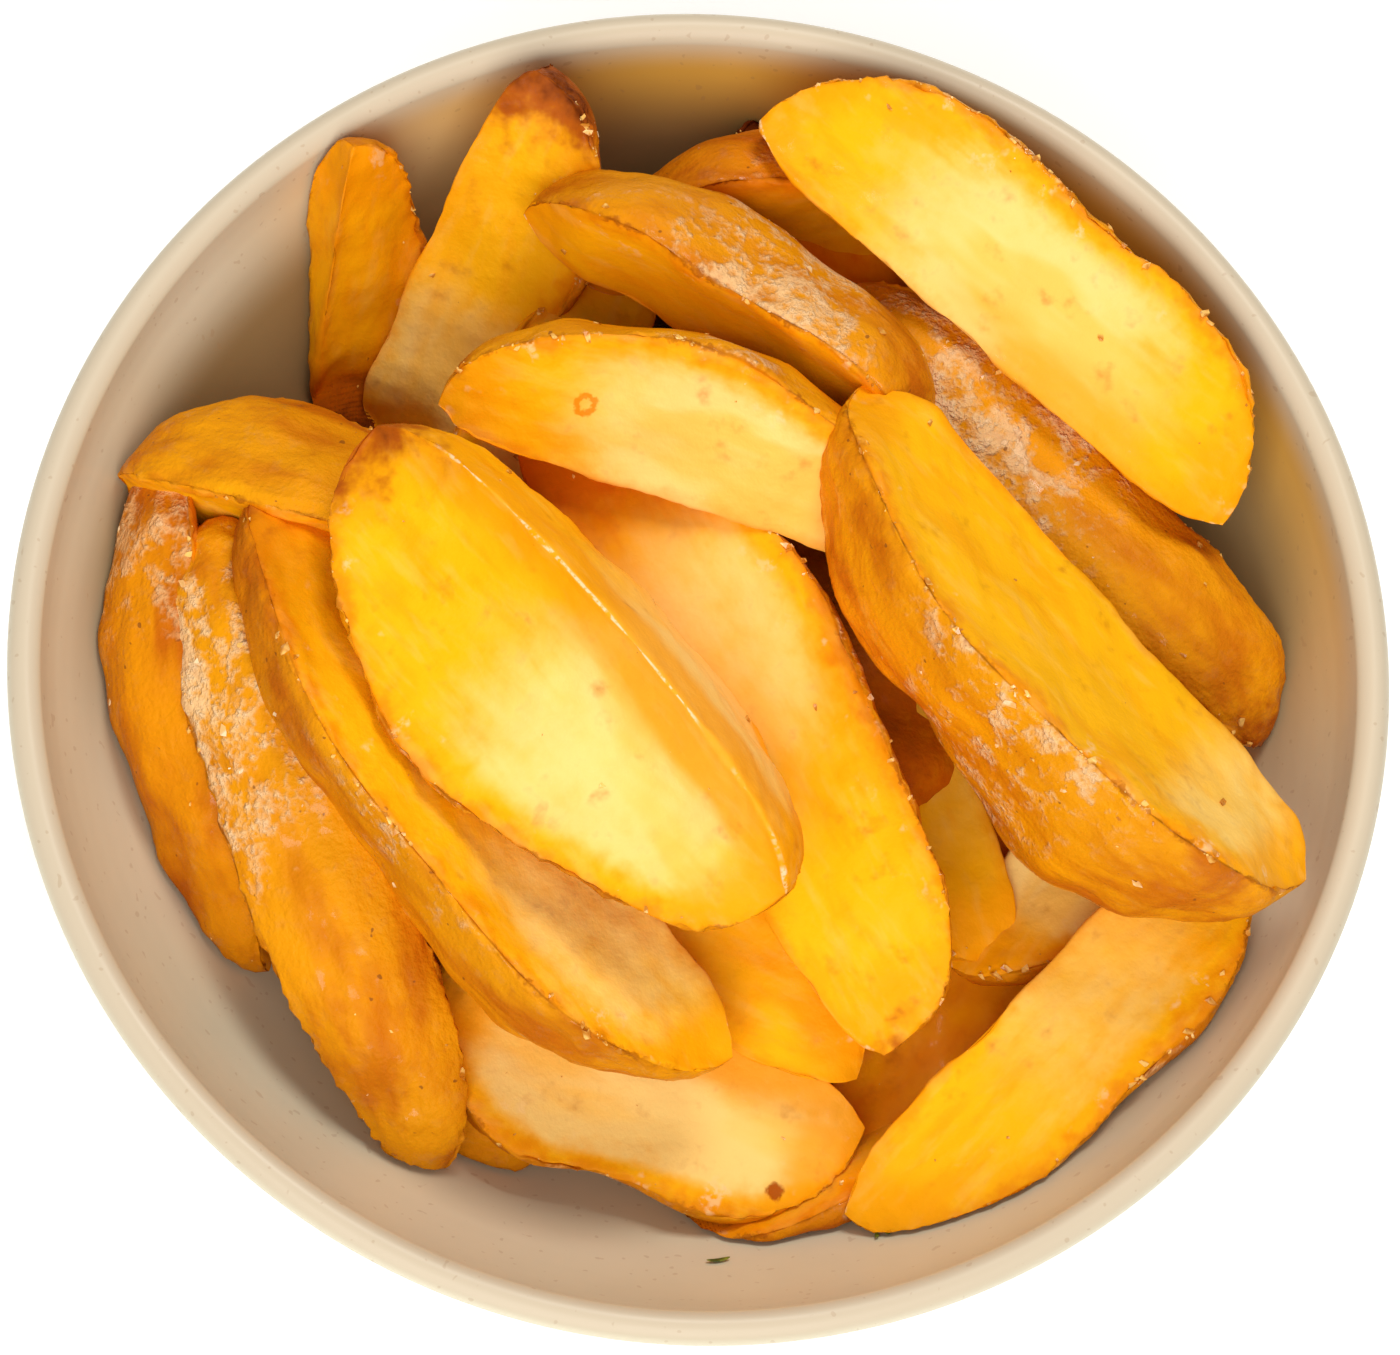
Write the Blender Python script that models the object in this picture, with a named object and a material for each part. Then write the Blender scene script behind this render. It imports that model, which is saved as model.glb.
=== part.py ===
"""A round glazed bowl heaped with fried potato wedges, in metres, +Z up.

The bowl is one turned body. The heap is one body too: a smooth core that stays out of sight, with every
wedge that shows fused on at its true size and place. A wedge is a lengthwise sector of a potato, with two
cut faces that meet in a straight inner edge, and a bulging skin.
"""

import math
import random
from collections import namedtuple

import bmesh
import bpy
from mathutils import Matrix, Vector

MM = 0.001

# Bowl. Its origin is the middle of the foot ring, on the table.
BOWL_RADIUS = 0.090
BOWL_HEIGHT = 0.064
WALL = 0.0044
INNER_DEPTH = 0.0555
BODY_DEPTH = 0.0595
HOLLOW_POWER = 1.5
HOLLOW_ROUNDNESS = 2.1
FOOT_RADIUS = 0.036
FOOT_WIDTH = 0.0040
FOOT_HEIGHT = 0.0045
FOOT_RECESS = 0.0022
FOOT_DRAFT = 0.001
SIDE_SPACING = 0.8
BOWL_STEPS = 64
SIDE_STEPS = 12
LIP_STEPS = 5

# Core of the heap: a dome out of sight under the wedges, as shares of its radius and height.
CORE_RADIUS = 0.058
CORE_HEIGHT = 0.047
CORE_PROFILE = ((0, 0), (0.4, 0), (0.75, 0), (1, 0.53), (0.8, 0.77), (0.4, 1), (0, 1))
CORE_STEPS = 24

# Wedges. The shares are of a wedge's width.
RINGS = 11
FACE_STOPS = (0.07, 0.38, 0.72)
SKIN_STEPS = 5
END_POWERS = (2.4, 3.4)
TIP_LIFT_SHARE = 0.22
TIP_LIFT_POWER = 8
LUMP_SHARE = 0.045
TWIST_DEG = 5.0
BOWL_CLEARANCE = 0.0008
FIT_ROUNDS = 6
HOLLOW_SKEW = 0.75

MERGE_DISTANCE = 0.00001
BOWL_SHARP_DEG = 40
HEAP_SHARP_DEG = 35

# x, y, z: middle of the inner edge. yaw: heading of the wedge's front end, anticlockwise from +X. pitch:
# front end up. roll: where the skin points, 0 up and positive to the right of the heading. width: inner edge
# to skin. angle: between the cut faces. bend: how far the middle bows towards the skin. hollow, hollow_2: how
# far the first and the second cut face sink, as shares of the width. Lengths in mm, turns in degrees.
SHAPE = "name x y z yaw pitch roll length width angle bend hollow hollow_2"
Wedge = namedtuple("Wedge", SHAPE, defaults=(0.05, 0.05))
Traits = namedtuple("Traits", "phases twist end_powers")
WEDGES = (
    Wedge("right_low", 50, -7, 33, 171, 0, 60, 52, 20, 70, 1),
    Wedge("gap_low", 34, -34, 26, 58, 0, -110, 56, 22, 70, 1),
    Wedge("front_right_low", 30, -37, 35, 50, 2, 115, 60, 22, 70, 0),
    Wedge("front_low", 18, -55, 30, 30, 2, 80, 52, 17, 75, 1),
    Wedge("front_left_low", -21, -46, 21, 24, 0, 20, 47, 18, 70, 1),
    Wedge("right_middle_low", 37, -7, 42, -72, 0, 118, 56, 22, 75, 0),
    Wedge("centre_low", -13, 28, 48, -109, -2, 120, 66, 20, 75, 0),
    Wedge("back_low", 13, 57, 47, 10, 0, -60, 56, 19, 75, 1),
    Wedge("back_burnt", 31, 59, 48, -56, -3, 105, 62, 22, 75, 1),
    Wedge("left_wall", -59.8, -1, 40, -80, -12, 50, 73, 16, 75, 2),
    Wedge("back_left_small", -50.5, 52, 48, 77, 58, 178, 49, 16, 90, 0),
    Wedge("back_left_tall", -38, 59.5, 50, 59, 48, 130, 62, 22, 75, 0),
    Wedge("right_middle", 48, -13, 40, 51, 0, 110, 53, 19, 75, 0),
    Wedge("right_skin", 46, 24, 42, -45, -6, -10, 85, 18, 75, 2),
    Wedge("left_skin", -48, -21, 41, -70, -11, 12, 91, 18, 80, 2),
    Wedge("left_top", -41, 10, 44, -19, -2, -40, 80, 22, 75, 1),
    Wedge("front_face", -4, -44, 44, -20, -2, 132, 60, 25, 75, 0),
    Wedge("front_middle", -10, -44, 50, -24, -2, -120, 64, 23, 75, 0),
    Wedge("front_right_face", 41.7, -41.4, 49, 46, 7, 122, 73, 21, 75, 0),
    Wedge("centre_face", -5, -12, 58, -60, -3, -118, 97, 28, 80, 0),
    Wedge("left_long", -22.5, -12, 60, -50, -4, 97, 96, 25, 75, 1),
    Wedge("back_right_face", 34.8, 42.2, 66, -41, -4, -118, 82, 26, 75, 0),
    Wedge("back_skin", 0.5, 42.2, 58, -30, -4, -46, 61, 19, 75, 1),
    Wedge("middle_face", -4.2, 18, 64.5, -15, -5, -84, 67, 22, 75, 1),
    Wedge("right_big", 53.8, 6.6, 68, -48, -5, 89, 86, 30, 78, 1),
    Wedge("top_face", -15, -3.5, 82, -49, -1, 160, 80, 30, 84, -5, 0.17, -0.08),
)


# --- Bowl -----------------------------------------------------------------------------------------------


def hollow_radius(depth, radius, full_depth):
    """The radius, depth below the rim, of a rounded hollow that closes at full_depth."""
    share = min(depth / full_depth, 1.0)
    return radius * (1 - share**HOLLOW_POWER) ** (1 / HOLLOW_ROUNDNESS)


def hollow_side(radius, full_depth, top):
    """Points (radius, height) down a hollow's side, closer together where it turns to the floor."""
    points = []
    for i in range(SIDE_STEPS):
        depth = full_depth * math.sin(0.5 * math.pi * i / SIDE_STEPS) ** SIDE_SPACING
        points.append((hollow_radius(depth, radius, full_depth), top - depth))
    return points


def bowl_profile():
    """The bowl's section from the middle of its underside, round the rim, to the middle of its floor."""
    lip_radius = WALL / 2
    lip_height = BOWL_HEIGHT - lip_radius
    outer = hollow_side(BOWL_RADIUS, BODY_DEPTH, lip_height)
    outer = [point for point in outer if point[0] > FOOT_RADIUS + 2 * FOOT_DRAFT]
    foot = [
        (0.0, FOOT_RECESS),
        (FOOT_RADIUS - FOOT_WIDTH - FOOT_DRAFT, FOOT_RECESS),
        (FOOT_RADIUS - FOOT_WIDTH, 0.0),
        (FOOT_RADIUS, 0.0),
        (FOOT_RADIUS + FOOT_DRAFT, FOOT_HEIGHT),
    ]
    lip = []
    for i in range(1, LIP_STEPS):
        turn = math.pi * i / LIP_STEPS
        middle = BOWL_RADIUS - lip_radius
        lip.append((middle + lip_radius * math.cos(turn), lip_height + lip_radius * math.sin(turn)))
    inner = hollow_side(BOWL_RADIUS - WALL, INNER_DEPTH, lip_height)
    return foot + outer[::-1] + lip + inner + [(0.0, lip_height - INNER_DEPTH)]


def turned(name, profile, steps):
    """A mesh made by turning a profile of (radius, height) points once round the Z axis."""
    bm = bmesh.new()
    ring = [bm.verts.new((radius, 0.0, height)) for radius, height in profile]
    edges = [bm.edges.new(pair) for pair in zip(ring, ring[1:])]
    bmesh.ops.spin(
        bm, geom=ring + edges, cent=(0, 0, 0), axis=(0, 0, 1), angle=2 * math.pi, steps=steps
    )
    bmesh.ops.remove_doubles(bm, verts=bm.verts, dist=MERGE_DISTANCE)
    bmesh.ops.recalc_face_normals(bm, faces=bm.faces)
    mesh = bpy.data.meshes.new(name)
    bm.to_mesh(mesh)
    bm.free()
    return mesh


def make_bowl(glaze):
    mesh = turned("bowl", bowl_profile(), BOWL_STEPS)
    mesh.shade_smooth()
    mesh.set_sharp_from_angle(angle=math.radians(BOWL_SHARP_DEG))
    mesh.materials.append(glaze)
    bowl = bpy.data.objects.new("bowl", mesh)
    bpy.context.scene.collection.objects.link(bowl)
    return bowl


# --- Wedges ---------------------------------------------------------------------------------------------


def traits_of(wedge):
    """What sets this wedge's form apart from the others, drawn from its name."""
    rng = random.Random(wedge.name)
    return Traits(
        phases=(rng.uniform(0, 2 * math.pi), rng.uniform(0, 2 * math.pi)),
        twist=math.radians(TWIST_DEG) * rng.uniform(-1, 1),
        end_powers=(rng.uniform(*END_POWERS), rng.uniform(*END_POWERS)),
    )


def section_point(around, wedge):
    """A point (y, z) on a section of radius 1, with the inner edge at 0, 0 and the skin towards +z.

    around is 0 to 1 out along the right cut face, to 2 over the skin, and to 3 back in along the left one.
    """
    half = math.radians(wedge.angle) / 2
    if 1 <= around <= 2:
        turn = half - 2 * half * (around - 1)
        return math.sin(turn), math.cos(turn)
    side, out, hollow = (1, around, wedge.hollow) if around < 1 else (-1, 3 - around, wedge.hollow_2)
    # A cut face sinks towards the section's middle line, square to the face.
    sink = hollow * math.sin(math.pi * out**HOLLOW_SKEW)
    y = out * math.sin(half) - sink * math.cos(half)
    z = out * math.cos(half) + sink * math.sin(half)
    return side * y, z


def wedge_point(wedge, traits, along, around):
    """A point on the wedge in its own frame, with its inner edge on the X axis and along from -1 to 1."""
    end_power = traits.end_powers[along > 0]
    size = wedge.width * MM * math.sqrt(1 - abs(along) ** end_power)
    lump = math.sin(3 * along + traits.phases[0]) + math.sin(5 * along + traits.phases[1] + 3 * around)
    size *= 1 + LUMP_SHARE * lump
    lift = wedge.bend * MM * (1 - along**2)
    lift += TIP_LIFT_SHARE * wedge.width * MM * abs(along) ** TIP_LIFT_POWER
    y, z = section_point(around, wedge)
    turned = Matrix.Rotation(traits.twist * along, 2) @ Vector((y * size, z * size))
    return Vector((along * wedge.length * MM / 2, turned.x, turned.y + lift))


def placement(wedge):
    """The wedge's place and attitude in the bowl, as a 4 x 4 matrix."""
    return (
        Matrix.Translation((wedge.x * MM, wedge.y * MM, wedge.z * MM))
        @ Matrix.Rotation(math.radians(wedge.yaw), 4, "Z")
        @ Matrix.Rotation(-math.radians(wedge.pitch), 4, "Y")
        @ Matrix.Rotation(math.radians(wedge.roll), 4, "X")
    )


def kept_in_bowl(point):
    """The point, drawn towards the middle of the bowl's mouth as far as it takes to clear the bowl."""
    mouth = Vector((0, 0, BOWL_HEIGHT - WALL / 2))
    radius = BOWL_RADIUS - WALL - BOWL_CLEARANCE
    for _ in range(FIT_ROUNDS):
        out = math.hypot(point.x, point.y) / radius
        down = max(mouth.z - point.z, 0) / (INNER_DEPTH - BOWL_CLEARANCE)
        reach = down**HOLLOW_POWER + out**HOLLOW_ROUNDNESS
        point = mouth + (point - mouth) * max(reach, 1) ** (-1 / HOLLOW_ROUNDNESS)
    return point


def wedge_mesh(wedge, flesh, skin):
    """One closed body: rings joined by quads, and a fan at each end. Skin faces take the skin material."""
    traits = traits_of(wedge)
    place = placement(wedge)
    around_stops = list(FACE_STOPS) + [1 + i / SKIN_STEPS for i in range(SKIN_STEPS + 1)]
    around_stops += [3 - stop for stop in reversed(FACE_STOPS)]
    along_stops = [math.sin(0.5 * math.pi * (2 * i / (RINGS + 1) - 1)) for i in range(1, RINGS + 1)]

    def vertex(along, around):
        return bm.verts.new(kept_in_bowl(place @ wedge_point(wedge, traits, along, around)))

    bm = bmesh.new()
    rings = [[vertex(along, around) for around in around_stops] for along in along_stops]
    faces = []
    for i in range(len(around_stops)):
        j = (i + 1) % len(around_stops)
        corners = [(back[i], back[j], front[j], front[i]) for back, front in zip(rings, rings[1:])]
        faces.append([bm.faces.new(four) for four in corners])
    for ring, end in ((rings[0], -1), (rings[-1], 1)):
        tip = vertex(end, 0)
        for i, strip in enumerate(faces):
            strip.append(bm.faces.new((ring[i], ring[(i + 1) % len(ring)], tip)))
    for strip in faces[len(FACE_STOPS) : len(FACE_STOPS) + SKIN_STEPS]:
        for face in strip:
            face.material_index = 1
    bmesh.ops.recalc_face_normals(bm, faces=bm.faces)
    bmesh.ops.triangulate(bm, faces=bm.faces)
    mesh = bpy.data.meshes.new(wedge.name)
    bm.to_mesh(mesh)
    bm.free()
    mesh.materials.append(flesh)
    mesh.materials.append(skin)
    return mesh


# --- Heap -----------------------------------------------------------------------------------------------


def make_core():
    """The dome under the wedges: it follows the bowl's floor at a small distance and closes above."""
    points = [Vector((radius * CORE_RADIUS, 0.0, height * CORE_HEIGHT)) for radius, height in CORE_PROFILE]
    kept = [kept_in_bowl(point) for point in points]
    return turned("core", [(point.x, point.z) for point in kept], CORE_STEPS)


def largest_shell(mesh):
    """Leaves only the largest connected shell: the union's outside, without the hollows that it sealed."""
    bm = bmesh.new()
    bm.from_mesh(mesh)
    unseen = set(bm.verts)
    shells = []
    while unseen:
        shell = set()
        front = [unseen.pop()]
        while front:
            vert = front.pop()
            shell.add(vert)
            for edge in vert.link_edges:
                other = edge.other_vert(vert)
                if other in unseen:
                    unseen.remove(other)
                    front.append(other)
        shells.append(shell)
    shells.sort(key=len)
    for shell in shells[:-1]:
        bmesh.ops.delete(bm, geom=list(shell), context="VERTS")
    bm.to_mesh(mesh)
    bm.free()


def make_heap(flesh, skin):
    heap = bpy.data.objects.new("potato_wedges", make_core())
    heap.data.materials.append(flesh)
    heap.data.materials.append(skin)
    bpy.context.scene.collection.objects.link(heap)
    loose = bpy.data.collections.new("loose_wedges")
    bpy.context.scene.collection.children.link(loose)
    for wedge in WEDGES:
        loose.objects.link(bpy.data.objects.new(wedge.name, wedge_mesh(wedge, flesh, skin)))
    union = heap.modifiers.new("fuse", "BOOLEAN")
    union.operation = "UNION"
    union.operand_type = "COLLECTION"
    union.collection = loose
    union.solver = "MANIFOLD"
    graph = bpy.context.evaluated_depsgraph_get()
    fused = bpy.data.meshes.new_from_object(heap.evaluated_get(graph))
    heap.modifiers.remove(union)
    heap.data = fused
    for piece in list(loose.objects):
        bpy.data.objects.remove(piece)
    bpy.data.collections.remove(loose)
    largest_shell(fused)
    fused.shade_smooth()
    fused.set_sharp_from_angle(angle=math.radians(HEAP_SHARP_DEG))
    return heap


# --- The whole ------------------------------------------------------------------------------------------


def make_material(name, colour, roughness):
    material = bpy.data.materials.new(name)
    material.use_nodes = True
    shader = material.node_tree.nodes["Principled BSDF"]
    shader.inputs["Base Color"].default_value = (*colour, 1.0)
    shader.inputs["Roughness"].default_value = roughness
    shader.inputs["Metallic"].default_value = 0.0
    return material


def main():
    for obj in list(bpy.data.objects):
        bpy.data.objects.remove(obj)
    glaze = make_material("cream_glaze", (0.72, 0.58, 0.42), 0.25)
    flesh = make_material("fried_potato", (0.90, 0.52, 0.08), 0.35)
    skin = make_material("potato_skin", (0.62, 0.33, 0.06), 0.40)
    whole = bpy.data.objects.new("filled_bowl", None)
    bpy.context.scene.collection.objects.link(whole)
    for piece in (make_bowl(glaze), make_heap(flesh, skin)):
        piece.parent = whole


main()
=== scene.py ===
"""A glazed bowl heaped with fried potato wedges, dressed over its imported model.

The bowl is about the Z axis and stands on z = 0. Its sizes are in metres, as every mesh is. The
tables of wedges and of herb bits, and each name that ends in _mm, are in millimetres.
"""

import math
import random
from collections import namedtuple

import bmesh
import bpy
import numpy as np
from mathutils import Matrix, Vector


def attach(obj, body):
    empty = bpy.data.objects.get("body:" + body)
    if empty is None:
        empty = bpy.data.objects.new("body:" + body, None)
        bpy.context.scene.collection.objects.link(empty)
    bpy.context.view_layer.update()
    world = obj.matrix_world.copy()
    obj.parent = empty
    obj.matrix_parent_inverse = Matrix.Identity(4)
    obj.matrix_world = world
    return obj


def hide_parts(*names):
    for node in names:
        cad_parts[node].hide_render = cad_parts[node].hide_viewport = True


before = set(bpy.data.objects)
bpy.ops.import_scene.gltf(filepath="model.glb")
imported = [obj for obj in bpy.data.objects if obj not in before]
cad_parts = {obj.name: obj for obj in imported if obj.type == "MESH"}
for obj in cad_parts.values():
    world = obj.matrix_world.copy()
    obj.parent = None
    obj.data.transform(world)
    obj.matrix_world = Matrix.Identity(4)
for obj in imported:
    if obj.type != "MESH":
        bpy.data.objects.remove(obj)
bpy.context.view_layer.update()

MM = 0.001

# --- Camera ---

CAMERA_AZIMUTH_DEG = -12.49
CAMERA_ELEVATION_DEG = 73.64
CAMERA_DISTANCE = 0.60
CAMERA_LENS = 119.24
CAMERA_TARGET = (-0.00069, -0.00390, 0.064)
CAMERA_SENSOR = 36
CAMERA_CLIP_START = 0.01


def make_camera():
    """The camera, high above the bowl, with +Y as far up in its view as it can be."""
    azimuth = math.radians(CAMERA_AZIMUTH_DEG)
    elevation = math.radians(CAMERA_ELEVATION_DEG)
    flat = math.cos(elevation)
    back = Vector((math.sin(azimuth) * flat, -math.cos(azimuth) * flat, math.sin(elevation)))
    right = (-back).cross(Vector((0, 1, 0))).normalized()
    up = back.cross(right)
    turned = Matrix((right, up, back)).transposed().to_4x4()
    data = bpy.data.cameras.new("camera")
    data.lens = CAMERA_LENS
    data.sensor_width = CAMERA_SENSOR
    data.clip_start = CAMERA_CLIP_START
    camera = bpy.data.objects.new("camera", data)
    place = Vector(CAMERA_TARGET) + back * CAMERA_DISTANCE
    camera.matrix_world = Matrix.Translation(place) @ turned
    bpy.context.scene.collection.objects.link(camera)
    bpy.context.scene.camera = camera


make_camera()

# --- The heap's and the bowl's forms ---

BOWL_RADIUS = 0.090
BOWL_HEIGHT = 0.064
WALL = 0.0044
INNER_DEPTH = 0.0555
BODY_DEPTH = 0.0595
# Each side of the bowl lies where depth ** HOLLOW_POWER + radius ** HOLLOW_ROUNDNESS = 1, with both
# of them as shares of their greatest.
HOLLOW_POWER = 1.5
HOLLOW_ROUNDNESS = 2.1
FOOT_RADIUS = 0.036
FOOT_WIDTH = 0.0040
FOOT_HEIGHT = 0.0045
FOOT_RECESS = 0.0022
FOOT_DRAFT = 0.001
FOOT_SOFTNESS = 0.0006
FOOT_FLARE_SHARE = 0.7
UNDERSIDE_RADII = (0.012, 0.026)
SIDE_SPACING = 0.8
BOWL_STEPS = 256
SIDE_STEPS = 48
LIP_STEPS = 16

# The core's profile is in shares of its radius and height.
CORE_RADIUS = 0.058
CORE_HEIGHT = 0.047
CORE_PROFILE = ((0, 0), (0.4, 0), (0.75, 0), (1, 0.53), (0.8, 0.77), (0.4, 1), (0, 1))
CORE_STEPS = 96
CORE_SIDE_STEPS = 12
# What the fried finish reads all over the core.
CORE_FINISH = {
    "edge_mm": 9,
    "ridge_mm": 9,
    "skin": 0.6,
    "amber": 0,
    "dry": 0,
    "pale": 0,
    "toast": 0.9,
    "burnt": 0.15,
}

# How blunt a wedge's ends are, how far its tips lift towards the skin, how lumpy and twisted it is,
# and where across a cut face its hollow is deepest.
END_POWERS = (2.4, 3.4)
TIP_LIFT_SHARE = 0.22
TIP_LIFT_POWER = 8
LUMP_SHARE = 0.045
LUMPS_ALONG = (3, 5)
LUMPS_AROUND = 3
TWIST_DEG = 5.0
HOLLOW_SKEW = 0.75
BOWL_CLEARANCE = 0.0008
FIT_ROUNDS = 6

# x, y, z: middle of the inner edge. yaw: heading of the wedge's front end, anticlockwise from +X.
# pitch: front end up. roll: where the skin points, 0 up and positive to the right of the heading.
# width: inner edge to skin. angle: between the cut faces. bend: how far the middle bows towards the
# skin. hollow, hollow_2: how far the first and the second cut face sink, as shares of the width.
# Lengths are in mm and turns in degrees.
SHAPE = "name x y z yaw pitch roll length width angle bend hollow hollow_2"
Wedge = namedtuple("Wedge", SHAPE, defaults=(0.05, 0.05))
Traits = namedtuple("Traits", "phases twist end_powers")
Form = namedtuple("Form", "points along size edge_mm ridge_mm end_mm")
WEDGES = (
    Wedge("right_low", 50, -7, 33, 171, 0, 60, 52, 20, 70, 1),
    Wedge("gap_low", 34, -34, 26, 58, 0, -110, 56, 22, 70, 1),
    Wedge("front_right_low", 30, -37, 35, 50, 2, 115, 60, 22, 70, 0),
    Wedge("front_low", 18, -55, 30, 30, 2, 80, 52, 17, 75, 1),
    Wedge("front_left_low", -21, -46, 21, 24, 0, 20, 47, 18, 70, 1),
    Wedge("right_middle_low", 37, -7, 42, -72, 0, 118, 56, 22, 75, 0),
    Wedge("centre_low", -13, 28, 48, -109, -2, 120, 66, 20, 75, 0),
    Wedge("back_low", 13, 57, 47, 10, 0, -60, 56, 19, 75, 1),
    Wedge("back_burnt", 31, 59, 48, -56, -3, 105, 62, 22, 75, 1),
    Wedge("left_wall", -59.8, -1, 40, -80, -12, 50, 73, 16, 75, 2),
    Wedge("back_left_small", -50.5, 52, 48, 77, 58, 178, 49, 16, 90, 0),
    Wedge("back_left_tall", -38, 59.5, 50, 59, 48, 130, 62, 22, 75, 0),
    Wedge("right_middle", 48, -13, 40, 51, 0, 110, 53, 19, 75, 0),
    Wedge("right_skin", 46, 24, 42, -45, -6, -10, 85, 18, 75, 2),
    Wedge("left_skin", -48, -21, 41, -70, -11, 12, 91, 18, 80, 2),
    Wedge("left_top", -41, 10, 44, -19, -2, -40, 80, 22, 75, 1),
    Wedge("front_face", -4, -44, 44, -20, -2, 132, 60, 25, 75, 0),
    Wedge("front_middle", -10, -44, 50, -24, -2, -120, 64, 23, 75, 0),
    Wedge("front_right_face", 41.7, -41.4, 49, 46, 7, 122, 73, 21, 75, 0),
    Wedge("centre_face", -5, -12, 58, -60, -3, -118, 97, 28, 80, 0),
    Wedge("left_long", -22.5, -12, 60, -50, -4, 97, 96, 25, 75, 1),
    Wedge("back_right_face", 34.8, 42.2, 66, -41, -4, -118, 82, 26, 75, 0),
    Wedge("back_skin", 0.5, 42.2, 58, -30, -4, -46, 61, 19, 75, 1),
    Wedge("middle_face", -4.2, 18, 64.5, -15, -5, -84, 67, 22, 75, 1),
    Wedge("right_big", 53.8, 6.6, 68, -48, -5, 89, 86, 30, 78, 1),
    Wedge("top_face", -15, -3.5, 82, -49, -1, 160, 80, 30, 84, -5, 0.17, -0.08),
)

# How each wedge is fried. Places along it are from -1, its back end, to 1, its front end.
# pale: how pale the middle of its cut faces stayed. pale_at, pale_reach: where along it that is
# and half that place's length. ridge: how amber the faces are by the inner edge, partly browning
# and partly painted shade where a hollow face turns from the light. toast: extra browning all
# over, and back: more of it towards the back end, partly painted shadow where a wedge above
# shades that end. dry: how much of the skin blistered to a dry pale film, around dry_at. burnt:
# how dark its back and front ends are. crumbs: how thickly crisp crumbs sit along its edges.
FRY = "pale pale_at pale_reach ridge toast back dry dry_at burnt crumbs"
Fry = namedtuple("Fry", FRY, defaults=(0.5, 0, 0.6, 0.2, 0, 0, 0.3, 0, (0, 0), 0.5))
FRIES = {
    "right_low": Fry(pale=0.4, toast=0.3),
    "gap_low": Fry(pale=0.2, toast=0.6),
    "front_right_low": Fry(pale=0.2, toast=0.6),
    "front_low": Fry(pale=0.3, toast=0.25, burnt=(0.2, 0.1)),
    "front_left_low": Fry(pale=0.4, toast=0.1),
    "right_middle_low": Fry(pale=0.3),
    "centre_low": Fry(pale=0.6, dry=0.6),
    "back_low": Fry(pale=0.0, toast=0.5),
    "back_burnt": Fry(pale=0.1, toast=0.8, burnt=(1.0, 0.2), crumbs=1.0),
    "left_wall": Fry(pale=0.5, toast=0.25, dry=0.7, dry_at=-0.7),
    "back_left_small": Fry(pale=0.0, toast=0.35, back=0.9, burnt=(0.8, 0), crumbs=0.2),
    "back_left_tall": Fry(
        pale=0.7,
        pale_at=-0.5,
        pale_reach=0.45,
        ridge=0.4,
        dry=0.5,
        dry_at=1,
        burnt=(0, 0.6),
        crumbs=0.8,
    ),
    "right_middle": Fry(pale=1.5),
    "right_skin": Fry(pale=0.0, toast=0.05, dry=1.0, dry_at=-0.35, burnt=(0, 0.45), crumbs=1.0),
    "left_skin": Fry(dry=0.9, dry_at=-0.45, burnt=(0, 0.1)),
    "left_top": Fry(pale=0.1, dry=0.2, burnt=(0.2, 0), crumbs=0.3),
    "front_face": Fry(pale=1.6, pale_at=0.1, pale_reach=0.8, ridge=0.6, crumbs=0.7),
    "front_middle": Fry(pale=0.1, toast=0.1),
    "front_right_face": Fry(pale=0.5, pale_at=0.2, pale_reach=0.5, crumbs=1.0),
    # Its back toast is painted shadow from the wedge that lies over its back end.
    "centre_face": Fry(
        pale=0.7, pale_at=-0.2, pale_reach=0.45, back=1.0, burnt=(0, 0.15), crumbs=1.0
    ),
    "left_long": Fry(pale=0.65, pale_at=0.5, pale_reach=0.45, back=0.5, burnt=(0.3, 0), crumbs=0.8),
    "back_right_face": Fry(pale=0.85, dry=0.6, dry_at=-0.6, ridge=0.5, crumbs=1.0),
    "back_skin": Fry(pale=0.0, toast=0.15, dry=0.9, dry_at=0.1, crumbs=0.9),
    "middle_face": Fry(pale=0.95, pale_at=0.25, pale_reach=0.8, burnt=(0.15, 0), crumbs=1.0),
    "right_big": Fry(pale=0.6, pale_at=0.7, pale_reach=0.25, dry=0.6, dry_at=0.1, crumbs=0.9),
    "top_face": Fry(
        pale=0.85, pale_at=0.35, pale_reach=0.55, ridge=1.0, burnt=(0.42, 0), crumbs=0.5
    ),
}

# Fineness of the wedges' meshes. Points lie 1 + EDGE_CROWDING times closer together at the edges.
POINT_SPACING_MM = 0.85
ROWS_SHARE = 1.15
EDGE_ROUNDING_MM = 0.95
EDGE_CROWDING = 3.0
CROWDING_REACH_MM = 1.6
OUTLINE_STEPS = 3000
SECTION_STEPS = 2400
ROUNDING_STEPS = 80

# The relief: how high each kind is and how far across its waves are, in mm.
Relief = namedtuple("Relief", "height_mm size_mm")
FACE_SWELL = Relief(0.50, 13)
FACE_GRAIN = Relief(0.11, 3.2)
SKIN_SWELL = Relief(0.45, 12)
SKIN_WRINKLE = Relief(0.28, 4.5)
BLISTER = Relief(0.22, 5.5)
BLISTER_CREASE_SIZE_MM = 2.5
BLISTER_LEAST = 0.6
BLISTER_CHANGE = 0.4
NIBBLE = Relief(0.55, 3.0)
SMALL_NIBBLE = Relief(0.275, 1.4)
CORE_SWELL = Relief(1.2, 16)
CORE_GRAIN = Relief(0.25, 5)
CORE_SEEDS = (3, 4)
NIBBLE_REACH_MM = 1.3
WRINKLE_STRETCH = (0.35, 1, 1)
WRINKLE_TOP = 0.4
BLISTER_STRETCH = (0.6, 1, 1)

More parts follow.
